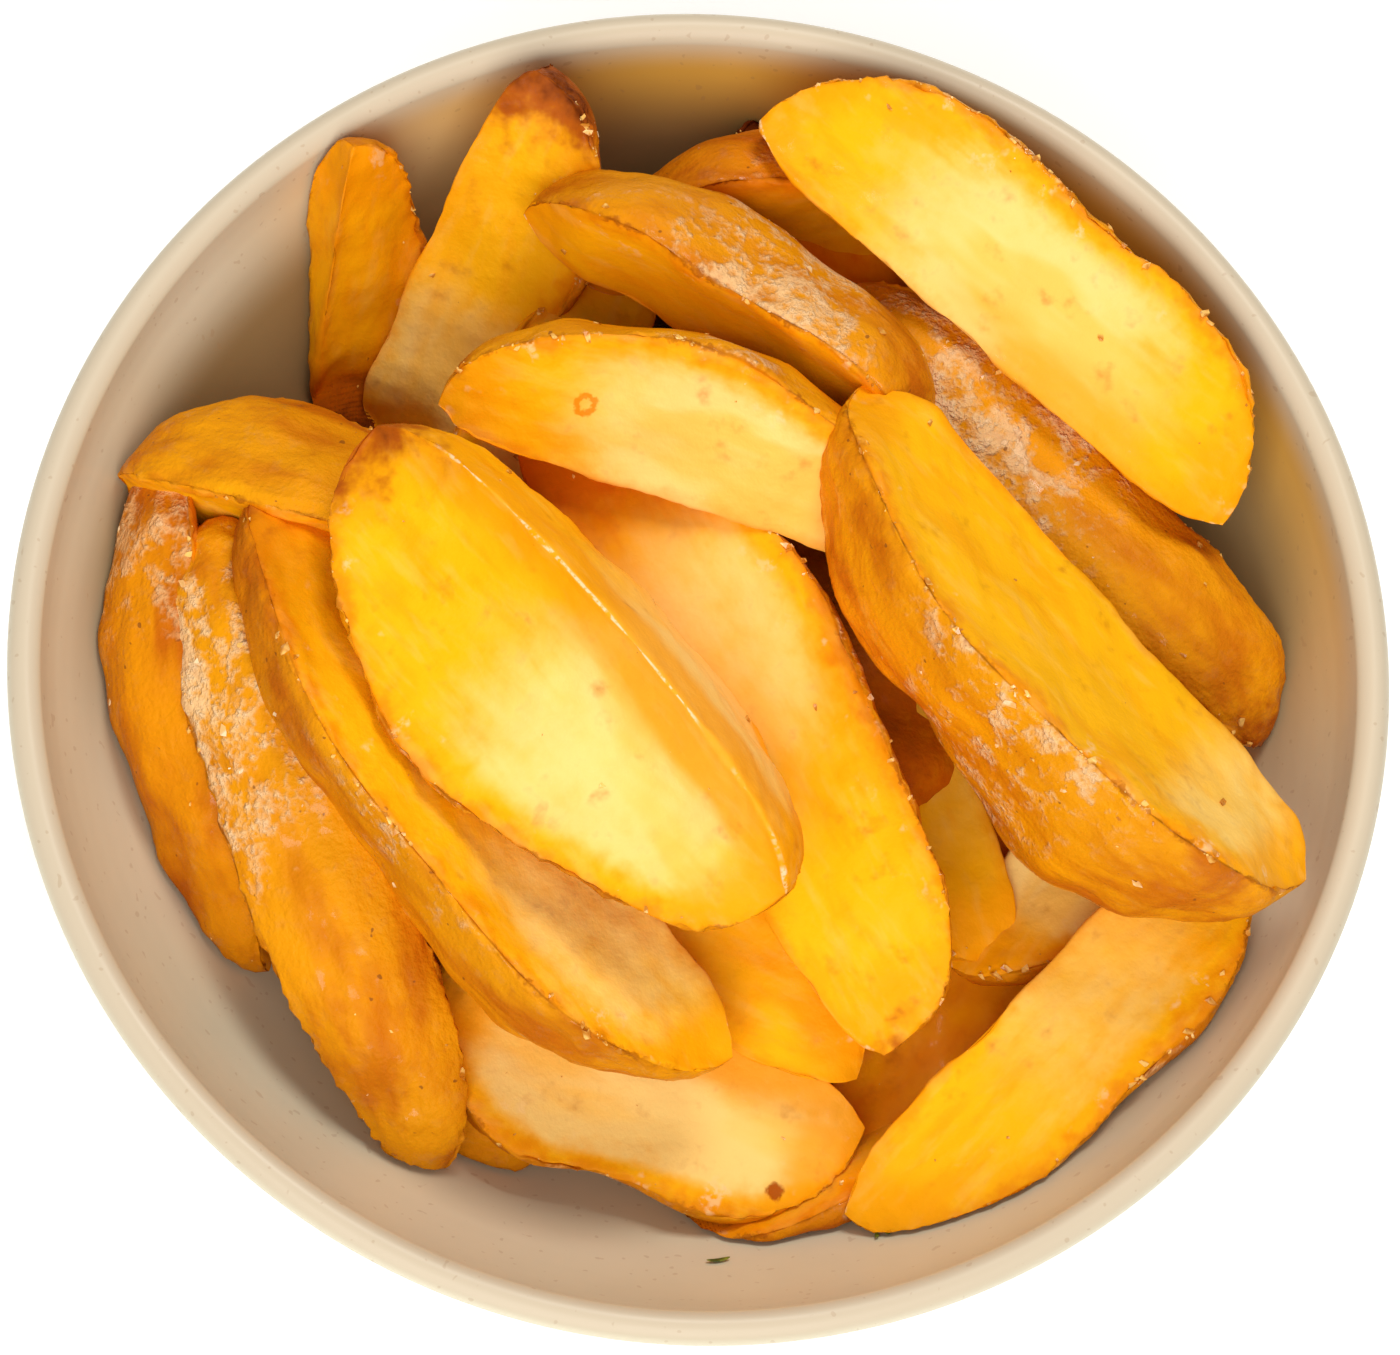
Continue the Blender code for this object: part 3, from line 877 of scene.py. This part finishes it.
def herb_bit(herb):
    """One slim curled bit of leaf, along X."""
    along = np.sin(0.5 * math.pi * np.linspace(-1, 1, HERB_ROWS + 2))[1:-1, None]
    turn = np.linspace(0, 2 * math.pi, HERB_COLUMNS, endpoint=False)
    size = np.sqrt(1 - along**2)
    x = along * herb.length / 2 + 0 * turn
    y = size * np.cos(turn) * herb.width / 2
    z = size * np.sin(turn) * HERB_HALF_THICKNESS_MM + HERB_LIFT_MM
    z = z + HERB_END_CURL_MM * along**2 + HERB_SIDE_CURL_SHARE * np.abs(y)
    tip = HERB_LIFT_MM + HERB_END_CURL_MM
    tips = [np.array((end * herb.length / 2, 0, tip)) * MM for end in (-1, 1)]
    return closed_grid("herb_bit", np.stack([x, y, z], axis=-1) * MM, *tips, {})


def place_on_wall(herb):
    """Where a herb bit lies on the bowl's inner wall, as a 4 x 4 matrix."""
    depth = BOWL_HEIGHT - WALL / 2 - herb.height * MM
    radius = hollow_radius(depth, BOWL_RADIUS - WALL, INNER_DEPTH)
    below = hollow_radius(depth + MM, BOWL_RADIUS - WALL, INNER_DEPTH)
    lean = math.atan2(radius - below, MM)
    return (
        Matrix.Rotation(math.radians(herb.round_deg), 4, "Z")
        @ Matrix.Translation((radius, 0, herb.height * MM))
        @ Matrix.Rotation(lean - math.pi / 2, 4, "Y")
        @ Matrix.Rotation(math.radians(90 + herb.slope_deg), 4, "Z")
    )


def make_herbs(material):
    """The herb bits as one piece."""
    bm = bmesh.new()
    for herb in HERBS:
        bit = herb_bit(herb)
        bit.transform(place_on_wall(herb))
        bm.from_mesh(bit)
    mesh = bpy.data.meshes.new("herb_bits")
    bm.to_mesh(mesh)
    bm.free()
    mesh.shade_smooth()
    mesh.materials.append(material)
    return new_piece("herb_bits", mesh, "potato_wedges")


# --- What the finishes share ---

# Soft-edged patches: their size in the units of their place, the two values of the noise that their
# border runs between, their seed and how much fine detail the noise has.
Patch = namedtuple("Patch", "size low high seed detail", defaults=(3.0,))
Groups = namedtuple("Groups", "patches band")
PATCH_ROUGHNESS = 0.55


def patches_group():
    """Uneven patches in the units of Place. Low to High of the noise is their soft border."""
    group, given, out = new_group(
        "patches",
        "ShaderNodeTree",
        [
            ("Place", "NodeSocketVector", None),
            ("Size", "NodeSocketFloat", 5.0),
            ("Detail", "NodeSocketFloat", 3.0),
            ("Low", "NodeSocketFloat", 0.45),
            ("High", "NodeSocketFloat", 0.6),
            ("Seed", "NodeSocketFloat", 0.0),
        ],
        [("Share", "NodeSocketFloat"), ("Noise", "NodeSocketFloat")],
    )
    noise = add(
        group,
        "ShaderNodeTexNoise",
        {"noise_dimensions": "4D"},
        Vector=given["Place"],
        W=given["Seed"],
        Scale=maths(group, "DIVIDE", 1.0, given["Size"]),
        Detail=given["Detail"],
        Roughness=PATCH_ROUGHNESS,
    ).outputs[0]
    fill(group, out, Share=span(group, noise, given["Low"], given["High"]), Noise=noise)
    return group


def ragged_band_group():
    """A band that fades over Reach from where Distance is 0, its border made ragged by noise."""
    group, given, out = new_group(
        "ragged_band",
        "ShaderNodeTree",
        [
            ("Distance", "NodeSocketFloat", 0.0),
            ("Reach", "NodeSocketFloat", 1.0),
            ("Ragged", "NodeSocketFloat", 1.0),
            ("Noise", "NodeSocketFloat", 0.5),
        ],
        [("Share", "NodeSocketFloat")],
    )
    wander = centred(group, given["Noise"], given["Ragged"])
    moved = plus(group, maths(group, "ABSOLUTE", given["Distance"]), wander)
    fill(group, out, Share=rest_of(group, span(group, moved, 0.0, given["Reach"])))
    return group


def patchy(tree, groups, patch, place):
    """The patches group, placed with one patch's values. Its outputs are Share and Noise."""
    return add(
        tree,
        "ShaderNodeGroup",
        {"node_tree": groups.patches},
        Place=place,
        Size=patch.size,
        Low=patch.low,
        High=patch.high,
        Seed=patch.seed,
        Detail=patch.detail,
    ).outputs


def here_in_mm(tree):
    """The point itself, in millimetres from the bowl's centre."""
    return scaled(tree, add(tree, "ShaderNodeTexCoord").outputs["Object"], 1 / MM)


def attribute(tree, name):
    """What a mesh carries under this name. Fac is it as a number, and Vector as a vector."""
    return add(tree, "ShaderNodeAttribute", {"attribute_name": name}).outputs


def bump(tree, height, strength, distance):
    """The normal of a surface with this relief."""
    node = add(tree, "ShaderNodeBump", Strength=strength, Distance=distance, Height=height)
    return node.outputs[0]


def new_material(name):
    material = bpy.data.materials.new(name)
    material.use_nodes = True
    return material, material.node_tree, material.node_tree.nodes["Principled BSDF"]


# --- Fried potato ---

# Colours, linear.
FLESH = (0.95, 0.46, 0.003)
FLESH_PALE = (0.95, 0.65, 0.20)
FLESH_GOLD = (0.91, 0.37, 0.002)
FLESH_AMBER = (0.80, 0.25, 0.002)
# The amber by the inner edge and the ends, partly painted shade.
FLESH_SLOPE_AND_SHADE = (0.91, 0.36, 0.002)
FLESH_DRY = (0.95, 0.66, 0.36)
CRISP = (0.36, 0.09, 0.003)
SKIN = (0.78, 0.30, 0.003)
SKIN_DARK = (0.54, 0.14, 0.003)
SKIN_DRY = (0.87, 0.56, 0.27)
FLAKE = (0.92, 0.68, 0.42)
SPECK = (0.20, 0.06, 0.010)
TOASTED = (0.72, 0.37, 0.05)
BROWNED = (0.42, 0.09, 0.003)
BURNT = (0.13, 0.022, 0.003)

WIDE_NOISE = Patch(10, 0.3, 0.7, 1.0)
MIDDLE_NOISE = Patch(3.5, 0.35, 0.65, 2.0)
FINE_NOISE = Patch(0.9, 0.3, 0.7, 3.0, 2.0)
GOLD_STREAKS = Patch(4, 0.46, 0.66, 4.0)
FIBRES = Patch(2.4, 0.50, 0.72, 5.0)
BLOTCHES = Patch(7, 0.4, 0.68, 6.0)
THIN_SKIN = Patch(11, 0.5, 0.75, 7.0)
SPECKS = Patch(1.3, 0.73, 0.78, 8.0, 1.0)
OIL = Patch(2.6, 0.54, 0.66, 9.0)
CREASES = Patch(2.2, 0.3, 0.7, 10.0)
FLAKES = Patch(1.3, 0.50, 0.60, 11.0)
CRISP_GAPS = Patch(7, 0.38, 0.62, 13.0)
CHALK = Patch(5, 0.60, 0.68, 14.0)
# Patches of the painted glint line along the inner edge.
RIDGE_PAINTED_GLINT = Patch(9, 0.46, 0.56, 15.0)
STREAK_STRETCH = (0.3, 1, 1)

# Darker bands along the edges: how far they reach, how ragged they are, and their layer of colour.
Layer = namedtuple("Layer", "tint strength")
Rim = namedtuple("Rim", "reach_mm ragged_mm layer")
GOLD_RIM = Rim(6.5, 14.0, Layer(FLESH_GOLD, 0.80))
AMBER_RIM = Rim(3.2, 9.0, Layer(FLESH_AMBER, 0.85))
RIDGE_RIM = Rim(2.6, 5.0, Layer(FLESH_AMBER, 0.65))
CRISP_RIM = Rim(0.9, 3.0, Layer(CRISP, 0.75))

# The other layers of colour, each laid over the ones before it.
FLESH_VEIL = Layer(FLESH, 0.5)
GOLD_LAYER = Layer(FLESH_GOLD, 0.75)
SLOPE_AND_SHADE_LAYER = Layer(FLESH_SLOPE_AND_SHADE, 0.8)
# Painted highlight: the pale glint line along an amber inner edge.
PAINTED_GLINT_LAYER = Layer(FLAKE, 0.8)
FIBRE_LAYER = Layer(FLESH_PALE, 0.14)
CHALK_LAYER = Layer(FLESH_DRY, 0.5)
RING_LAYER = Layer(FLESH_AMBER, 0.95)
THIN_LAYER = Layer(FLESH_GOLD, 0.5)
DRY_LAYER = Layer(SKIN_DRY, 0.9)
FLAKE_LAYER = Layer(FLAKE, 0.5)
SPECK_LAYER = Layer(SPECK, 0.7)

# How far the noises move a border, and the values that a soft border runs between.
PALE_WANDER = (0.9, 0.45)
PALE_SPAN = (0.15, 0.90)
VEIL_SPAN = (0.48, 0.62)
RIM_BY_PALE = (0.1, 0.9, 1.0, 0.6)
SLOPE_WANDER = 1.2
SLOPE_SPAN = (0.25, 0.75)
# Where the painted glint line runs: close to the inner edge, where it is amber, in the grain.
PAINTED_GLINT_RIDGE_MM = (0.45, 0.15)
PAINTED_GLINT_AMBER_SPAN = (0.75, 1.0)
PAINTED_GLINT_GRAIN_SPAN = (0.40, 0.55)
CHALK_EDGE_MM = (9, 3)
CHALK_GRAIN_SPAN = (0.4, 0.6)
DRY_WANDER = (3.0, 1.2)
DRY_SPAN = (0.25, 1.0)
DRY_ONSET = (0.05, 0.35)
LEAST_TOAST = 0.6
HEAT_WANDER = 0.9
BROWNED_SPAN = (0.05, 0.45)
BURNT_SPAN = (0.40, 0.80)

# Two small marks in the cut faces, by their places in mm: a ring and a pit.
RING_PLACE = (-16.1, 30.5, 71.4)
RING_INSIDE_MM = (0.7, 1.0)
RING_OUTSIDE_MM = (1.8, 1.4)
PIT_PLACE = (10.6, -66.8, 40.2)
PIT_MM = (1.45, 0.75)
MARK_WANDER_MM = 1.6

# Gloss and relief. Of four numbers, the last two are the values where the first two are reached.
# They go by skin, 0 on a cut face and 1 on the skin, and the roughness goes by the middle noise.
WET_SPAN = (0, 1, 0.10, 0.75)
OIL_ROUGHNESS = 0.10
OIL_IOR = 1.40
POTATO_SPECULAR = 0.06
POTATO_ROUGHNESS = (0.3, 0.7, 0.38, 0.55)
DRY_ROUGHNESS = 0.25
GRAIN_HEIGHT = (0, 1, 0.3, 0.8)
CREASE_HEIGHT = 0.8
FLAKE_HEIGHT = 0.5
CRISP_HEIGHT = 0.4
PIT_DEPTH = 0.5
POTATO_BUMP = (0.75, 0.0005)

# What a wedge's mesh says of a point, the places that patterns hang on, and three noises.
Reading = namedtuple(
    "Reading", "edge ridge skin pale amber dry toast burnt here streaks wide middle fine"
)


def read_wedge(tree, groups):
    """All that the fried finish starts from."""
    names = ("edge_mm", "ridge_mm", "skin", "pale", "amber", "dry", "toast", "burnt")
    values = [attribute(tree, name)["Fac"] for name in names]
    here = here_in_mm(tree)
    grain = attribute(tree, "grain_mm")["Vector"]
    along = {"vector_type": "POINT"}
    streaks = add(tree, "ShaderNodeMapping", along, Vector=grain, Scale=STREAK_STRETCH).outputs[0]
    wide = patchy(tree, groups, WIDE_NOISE, streaks)["Noise"]
    middle = patchy(tree, groups, MIDDLE_NOISE, here)["Noise"]
    fine = patchy(tree, groups, FINE_NOISE, here)["Noise"]
    return Reading(*values, here, streaks, wide, middle, fine)


def laid(tree, under, share, layer):
    """The colour under a layer, with the layer laid over it where its share is."""
    return mix(tree, times(tree, share, layer.strength), under, layer.tint)


def rim_share(tree, groups, rim, distance, noise):
    """How much of a rim there is at a distance from its edge."""
    band = {"node_tree": groups.band}
    sizes = {"Reach": rim.reach_mm, "Ragged": rim.ragged_mm}
    node = add(tree, "ShaderNodeGroup", band, Distance=distance, Noise=noise, **sizes)
    return node.outputs["Share"]


def cut_face_colour(tree, groups, read):
    """Pale in the middle, gold to amber towards the edges, with a few thin pale fibres.

    By the inner edge, partly painted shade and a thin painted glint line.
    """
    wander, finer = PALE_WANDER
    wander = plus(tree, centred(tree, read.wide, wander), centred(tree, read.middle, finer))
    pale = span(tree, plus(tree, read.pale, wander), *PALE_SPAN)
    flesh = mix(tree, pale, FLESH, FLESH_PALE)
    flesh = laid(tree, flesh, span(tree, read.wide, *VEIL_SPAN), FLESH_VEIL)
    gold = patchy(tree, groups, GOLD_STREAKS, read.streaks)["Share"]
    flesh = laid(tree, flesh, times(tree, gold, rest_of(tree, pale)), GOLD_LAYER)
    rims = ((GOLD_RIM, read.edge), (AMBER_RIM, read.edge), (RIDGE_RIM, read.ridge))
    for rim, distance in rims:
        share = rim_share(tree, groups, rim, distance, read.middle)
        share = times(tree, share, span(tree, read.pale, *RIM_BY_PALE))
        flesh = laid(tree, flesh, share, rim.layer)
    # Amber by the inner edge and the ends: browning, and partly painted shade by a hollow edge.
    slope_and_shade = plus(tree, read.amber, centred(tree, read.wide, SLOPE_WANDER))
    flesh = laid(tree, flesh, span(tree, slope_and_shade, *SLOPE_SPAN), SLOPE_AND_SHADE_LAYER)
    # Painted highlight: a thin pale glint line along the amber inner edge, in patches.
    by_ridge = span(tree, read.ridge, *PAINTED_GLINT_RIDGE_MM)
    film = times(tree, by_ridge, span(tree, read.amber, *PAINTED_GLINT_AMBER_SPAN))
    film = times(tree, film, patchy(tree, groups, RIDGE_PAINTED_GLINT, read.here)["Share"])
    film = times(tree, film, span(tree, read.fine, *PAINTED_GLINT_GRAIN_SPAN))
    flesh = laid(tree, flesh, film, PAINTED_GLINT_LAYER)
    fibres = patchy(tree, groups, FIBRES, read.streaks)["Share"]
    flesh = laid(tree, flesh, fibres, FIBRE_LAYER)
    chalk = patchy(tree, groups, CHALK, read.here)["Share"]
    chalk = times(tree, chalk, span(tree, read.edge, *CHALK_EDGE_MM))
    chalk = times(tree, chalk, span(tree, read.fine, *CHALK_GRAIN_SPAN))
    return laid(tree, flesh, chalk, CHALK_LAYER)


def mark_distance(tree, read, place):
    """How far in mm a point is from a mark's middle, a little more or less by the fine noise."""
    distance = vector_maths(tree, "DISTANCE", read.here, place).outputs["Value"]
    return plus(tree, distance, centred(tree, read.fine, MARK_WANDER_MM))


def skin_colour(tree, groups, read, dry, flakes):
    """Tan, darker in blotches, dry with pale flakes where it blistered, with small dark specks."""
    blotches = patchy(tree, groups, BLOTCHES, read.streaks)["Share"]
    peel = mix(tree, blotches, SKIN, SKIN_DARK)
    peel = laid(tree, peel, patchy(tree, groups, THIN_SKIN, read.here)["Share"], THIN_LAYER)
    peel = laid(tree, peel, dry, DRY_LAYER)
    peel = laid(tree, peel, times(tree, flakes, dry), FLAKE_LAYER)
    return laid(tree, peel, patchy(tree, groups, SPECKS, read.here)["Share"], SPECK_LAYER)


def potato_material(groups):
    """The fried surface of cut faces and skin, under a thin film of oil that is wet in places."""
    material, tree, shader = new_material("fried_potato_surface")
    read = read_wedge(tree, groups)

    flesh = cut_face_colour(tree, groups, read)
    from_ring = mark_distance(tree, read, RING_PLACE)
    inside = span(tree, from_ring, *RING_INSIDE_MM)
    ring = times(tree, inside, span(tree, from_ring, *RING_OUTSIDE_MM))
    flesh = laid(tree, flesh, ring, RING_LAYER)
    pit = span(tree, mark_distance(tree, read, PIT_PLACE), *PIT_MM)
    flesh = mix(tree, pit, flesh, BROWNED)

    wander, finer = DRY_WANDER
    wander = plus(tree, centred(tree, read.middle, wander), centred(tree, read.fine, finer))
    dry = times(tree, span(tree, plus(tree, read.dry, wander), *DRY_SPAN), read.skin)
    dry = times(tree, dry, span(tree, read.dry, *DRY_ONSET))
    flakes = patchy(tree, groups, FLAKES, read.here)["Share"]
    peel = skin_colour(tree, groups, read, dry, flakes)

    # Over both: a thin brown crisp line on the cut edges, browning by the oil's heat, charred ends.
    # The browning also holds painted shadow towards some wedges' back ends.
    colour = mix(tree, read.skin, flesh, peel)
    crisp = rim_share(tree, groups, CRISP_RIM, read.edge, read.fine)
    crisp = times(tree, crisp, patchy(tree, groups, CRISP_GAPS, read.here)["Share"])
    colour = laid(tree, colour, crisp, CRISP_RIM.layer)
    # The toast here is browning, and towards some back ends partly painted shadow.
    uneven = plus(tree, LEAST_TOAST, read.middle)
    toasted = maths(tree, "MULTIPLY", read.toast, uneven, clamp=True)
    colour = mix(tree, toasted, colour, TOASTED, "MULTIPLY")
    heat = plus(tree, read.burnt, centred(tree, read.middle, HEAT_WANDER))
    colour = mix(tree, span(tree, heat, *BROWNED_SPAN), colour, BROWNED)
    colour = mix(tree, span(tree, heat, *BURNT_SPAN), colour, BURNT)

    wet = times(tree, patchy(tree, groups, OIL, read.here)["Share"], rest_of(tree, dry))
    wet = times(tree, wet, span(tree, read.skin, *WET_SPAN))
    rough = span(tree, read.middle, *POTATO_ROUGHNESS)
    creases = patchy(tree, groups, CREASES, read.streaks)["Noise"]
    grain = plus(tree, span(tree, read.skin, *GRAIN_HEIGHT), dry)
    height = times(tree, read.fine, grain)
    height = plus(tree, height, times(tree, creases, times(tree, read.skin, CREASE_HEIGHT)))
    height = plus(tree, height, times(tree, flakes, times(tree, dry, FLAKE_HEIGHT)))
    height = plus(tree, height, times(tree, crisp, CRISP_HEIGHT))
    height = maths(tree, "SUBTRACT", height, times(tree, pit, PIT_DEPTH))
    fill(
        tree,
        shader,
        Base_Color=colour,
        Roughness=plus(tree, rough, times(tree, dry, DRY_ROUGHNESS)),
        Specular_IOR_Level=POTATO_SPECULAR,
        Coat_Weight=wet,
        Coat_Roughness=OIL_ROUGHNESS,
        Coat_IOR=OIL_IOR,
        Normal=bump(tree, height, *POTATO_BUMP),
    )
    return material


# --- Bits, glaze and floor ---

BIT_TINTS = Patch(1.3, 0.4, 0.6, 12.0, 1.0)
BIT_SPECULAR = 0.5
CRUMB_DARK = (0.58, 0.20, 0.010)
CRUMB_LIGHT = (0.92, 0.56, 0.14)
DRY_FLAKE_DARK = (0.84, 0.46, 0.15)
DRY_FLAKE_LIGHT = (0.92, 0.68, 0.40)
HERB_DARK = (0.05, 0.08, 0.008)
HERB_LIGHT = (0.20, 0.24, 0.02)

GLAZE = (0.65, 0.59, 0.43)
GLAZE_LIGHT = (0.69, 0.63, 0.47)
GLAZE_LIP = (0.60, 0.505, 0.37)
# Painted orange reflection of the potatoes, with painted shade, on the far wall.
GLAZE_PAINTED_REFLECTION = (0.68, 0.40, 0.07)
# Painted shade for the wall low in the hollow behind the middle.
GLAZE_PAINTED_SHADE = (0.28, 0.18, 0.075)
CLAY = (0.42, 0.27, 0.16)
GLAZE_CLOUDS = Patch(34.0, 0.3, 0.7, 1.0)
PINHOLES = Patch(1.1, 0.74, 0.78, 2.0, 0.0)
PINHOLE_LAYER = Layer((0.35, 0.20, 0.09), 0.25)
DIMPLES = Patch(7.0, 0.3, 0.7, 3.0, 1.0)
LIP_BELOW_RIM_MM = (1.6, 0.2)
CLAY_HEIGHT_MM = (0.8, 1.3)
# Painted light inside: a painted orange reflection of the potatoes with painted shade on the far
# side, and painted shade low in the hollow behind the middle.
PAINTED_REFLECTION_TOWARDS = (0.5, 0.9, 0)
PAINTED_REFLECTION_DISTANCE_MM = (10, 75)
PAINTED_REFLECTION_HEIGHT_MM = (64, 56)
PAINTED_SHADE_BACK_MM = (-20, 20)
PAINTED_SHADE_HEIGHT_MM = (57, 44)
GLAZE_ROUGHNESS = (0.3, 0.7, 0.28, 0.38)
CLAY_ROUGHNESS = 0.8
GLAZE_SPECULAR = 0.2
TURNING_RINGS_PER_MM = 2.1
TURNING_RING_HEIGHT = 0.06
GLAZE_BUMP = (0.12, 0.0006)

FLOOR_CLOUDS = Patch(0.3, 0.3, 0.7, 5.0)
FLOOR_DARK = (0.93, 0.93, 0.93)
FLOOR_LIGHT = (0.95, 0.95, 0.95)
FLOOR_ROUGHNESS = 0.9
FLOOR_GLOW = (1.0, 1.0, 1.0, 1.0)
FLOOR_GLOW_STRENGTH = 0.2


def bits_material(name, groups, dark, light, roughness):
    """The finish of small bits, in uneven tints between dark and light."""
    material, tree, shader = new_material(name)
    tint = patchy(tree, groups, BIT_TINTS, here_in_mm(tree))["Share"]
    colour = mix(tree, tint, dark, light)
    fill(tree, shader, Base_Color=colour, Roughness=roughness, Specular_IOR_Level=BIT_SPECULAR)
    return material


def glaze_material(groups):
    """Cream glaze, thinner over the lip and worn off the foot.

    Inside lie a painted orange reflection of the potatoes with painted shade on the far wall, and
    painted shade low in the hollow behind the middle.
    """
    material, tree, shader = new_material("cream_glaze_over_stoneware")
    here = here_in_mm(tree)
    _, back, height = add(tree, "ShaderNodeSeparateXYZ", Vector=here).outputs
    inside = attribute(tree, "inside")["Fac"]
    clouds = patchy(tree, groups, GLAZE_CLOUDS, here)
    colour = mix(tree, clouds["Share"], GLAZE, GLAZE_LIGHT)
    lip = span(tree, height, *(BOWL_HEIGHT / MM - below for below in LIP_BELOW_RIM_MM))
    colour = mix(tree, lip, colour, GLAZE_LIP)
    # Painted light: below the lip, the far wall takes painted potato reflection and shade.
    distance = vector_maths(tree, "DOT_PRODUCT", here, PAINTED_REFLECTION_TOWARDS).outputs["Value"]
    painted_reflection = span(tree, distance, *PAINTED_REFLECTION_DISTANCE_MM)
    painted_reflection = times(tree, painted_reflection, span(tree, height, *PAINTED_REFLECTION_HEIGHT_MM))
    colour = mix(tree, times(tree, painted_reflection, inside), colour, GLAZE_PAINTED_REFLECTION)
    # Painted shade: the wall low in the hollow behind the middle darkens to dark brown.
    painted_shade = span(tree, back, *PAINTED_SHADE_BACK_MM)
    painted_shade = times(tree, painted_shade, span(tree, height, *PAINTED_SHADE_HEIGHT_MM))
    colour = mix(tree, times(tree, painted_shade, inside), colour, GLAZE_PAINTED_SHADE)
    pinholes = patchy(tree, groups, PINHOLES, here)["Share"]
    colour = laid(tree, colour, pinholes, PINHOLE_LAYER)
    clay = rest_of(tree, span(tree, height, *CLAY_HEIGHT_MM))
    colour = mix(tree, clay, colour, CLAY)
    rough = span(tree, clouds["Noise"], *GLAZE_ROUGHNESS)
    rings = maths(tree, "SINE", times(tree, height, TURNING_RINGS_PER_MM))
    dimples = patchy(tree, groups, DIMPLES, here)["Noise"]
    relief = plus(tree, times(tree, rings, TURNING_RING_HEIGHT), dimples)
    fill(
        tree,
        shader,
        Base_Color=colour,
        Roughness=maths(tree, "MAXIMUM", rough, times(tree, clay, CLAY_ROUGHNESS)),
        Specular_IOR_Level=GLAZE_SPECULAR,
        Normal=bump(tree, relief, *GLAZE_BUMP),
    )
    return material


def floor_material(groups):
    """A pale matt floor in soft clouds of two greys, with a faint glow of its own."""
    material, tree, shader = new_material("pale_floor")
    here = add(tree, "ShaderNodeTexCoord").outputs["Object"]
    clouds = patchy(tree, groups, FLOOR_CLOUDS, here)["Share"]
    fill(
        tree,
        shader,
        Base_Color=mix(tree, clouds, FLOOR_DARK, FLOOR_LIGHT),
        Roughness=FLOOR_ROUGHNESS,
        Emission_Color=FLOOR_GLOW,
        Emission_Strength=FLOOR_GLOW_STRENGTH,
    )
    return material


# --- Stage ---

FLOOR_HALF = 1.5
FLOOR_DROP = 0.0004
FLOOR_CORNERS = ((-1, -1), (1, -1), (1, 1), (-1, 1))
Light = namedtuple("Light", "name place size power colour")
LIGHTS = (
    Light("key", (0.17, 0.49, 0.87), 0.34, 4.9, (1.0, 0.97, 0.92)),
    Light("fill", (-0.15, -0.75, 0.85), 1.0, 12.4, (1.0, 0.97, 0.94)),
)
LIGHTS_AIM = (0, 0, BOWL_HEIGHT)
SKY = (1.0, 0.98, 0.95)
SKY_STRENGTH = 0.32


def make_light(light):
    """A square lamp that shines at the bowl's mouth."""
    data = bpy.data.lights.new(light.name, "AREA")
    data.size = light.size
    data.energy = light.power
    data.color = light.colour
    lamp = bpy.data.objects.new(light.name, data)
    lamp.location = light.place
    aim = Vector(LIGHTS_AIM) - Vector(light.place)
    lamp.rotation_euler = aim.to_track_quat("-Z", "Y").to_euler()
    bpy.context.scene.collection.objects.link(lamp)


def make_stage(material):
    """The floor, the two lamps and the soft sky."""
    mesh = bpy.data.meshes.new("floor")
    corners = [(x * FLOOR_HALF, y * FLOOR_HALF, -FLOOR_DROP) for x, y in FLOOR_CORNERS]
    mesh.from_pydata(corners, [], [(0, 1, 2, 3)])
    mesh.materials.append(material)
    floor = bpy.data.objects.new("floor", mesh)
    bpy.context.scene.collection.objects.link(floor)
    for light in LIGHTS:
        make_light(light)
    world = bpy.data.worlds.new("soft_sky")
    world.use_nodes = True
    sky = world.node_tree.nodes["Background"]
    fill(world.node_tree, sky, Color=(*SKY, 1.0), Strength=SKY_STRENGTH)
    bpy.context.scene.world = world
    bpy.context.scene.view_settings.view_transform = "Standard"


# --- Making it ---

groups = Groups(patches_group(), ragged_band_group())
potato = potato_material(groups)
make_bowl(glaze_material(groups))
make_core(potato)
wedges = [make_wedge(wedge, potato) for wedge in WEDGES]
scatter = bits_tree()
make_bits(
    "edge_crumbs",
    scatter,
    wedges,
    Where="crumb",
    Density=1.2e6,
    Smallest=0.00018,
    Largest=0.00110,
    Flatness=0.8,
    Seed=3,
    Material=bits_material("crisp_crumb", groups, CRUMB_DARK, CRUMB_LIGHT, roughness=0.25),
)
make_bits(
    "skin_flakes",
    scatter,
    wedges,
    Where="flake",
    Density=1.0e5,
    Smallest=0.00025,
    Largest=0.00130,
    Flatness=0.3,
    Seed=5,
    Material=bits_material("dry_flake", groups, DRY_FLAKE_DARK, DRY_FLAKE_LIGHT, roughness=0.4),
)
make_herbs(bits_material("green_herb", groups, HERB_DARK, HERB_LIGHT, roughness=0.5))
make_stage(floor_material(groups))
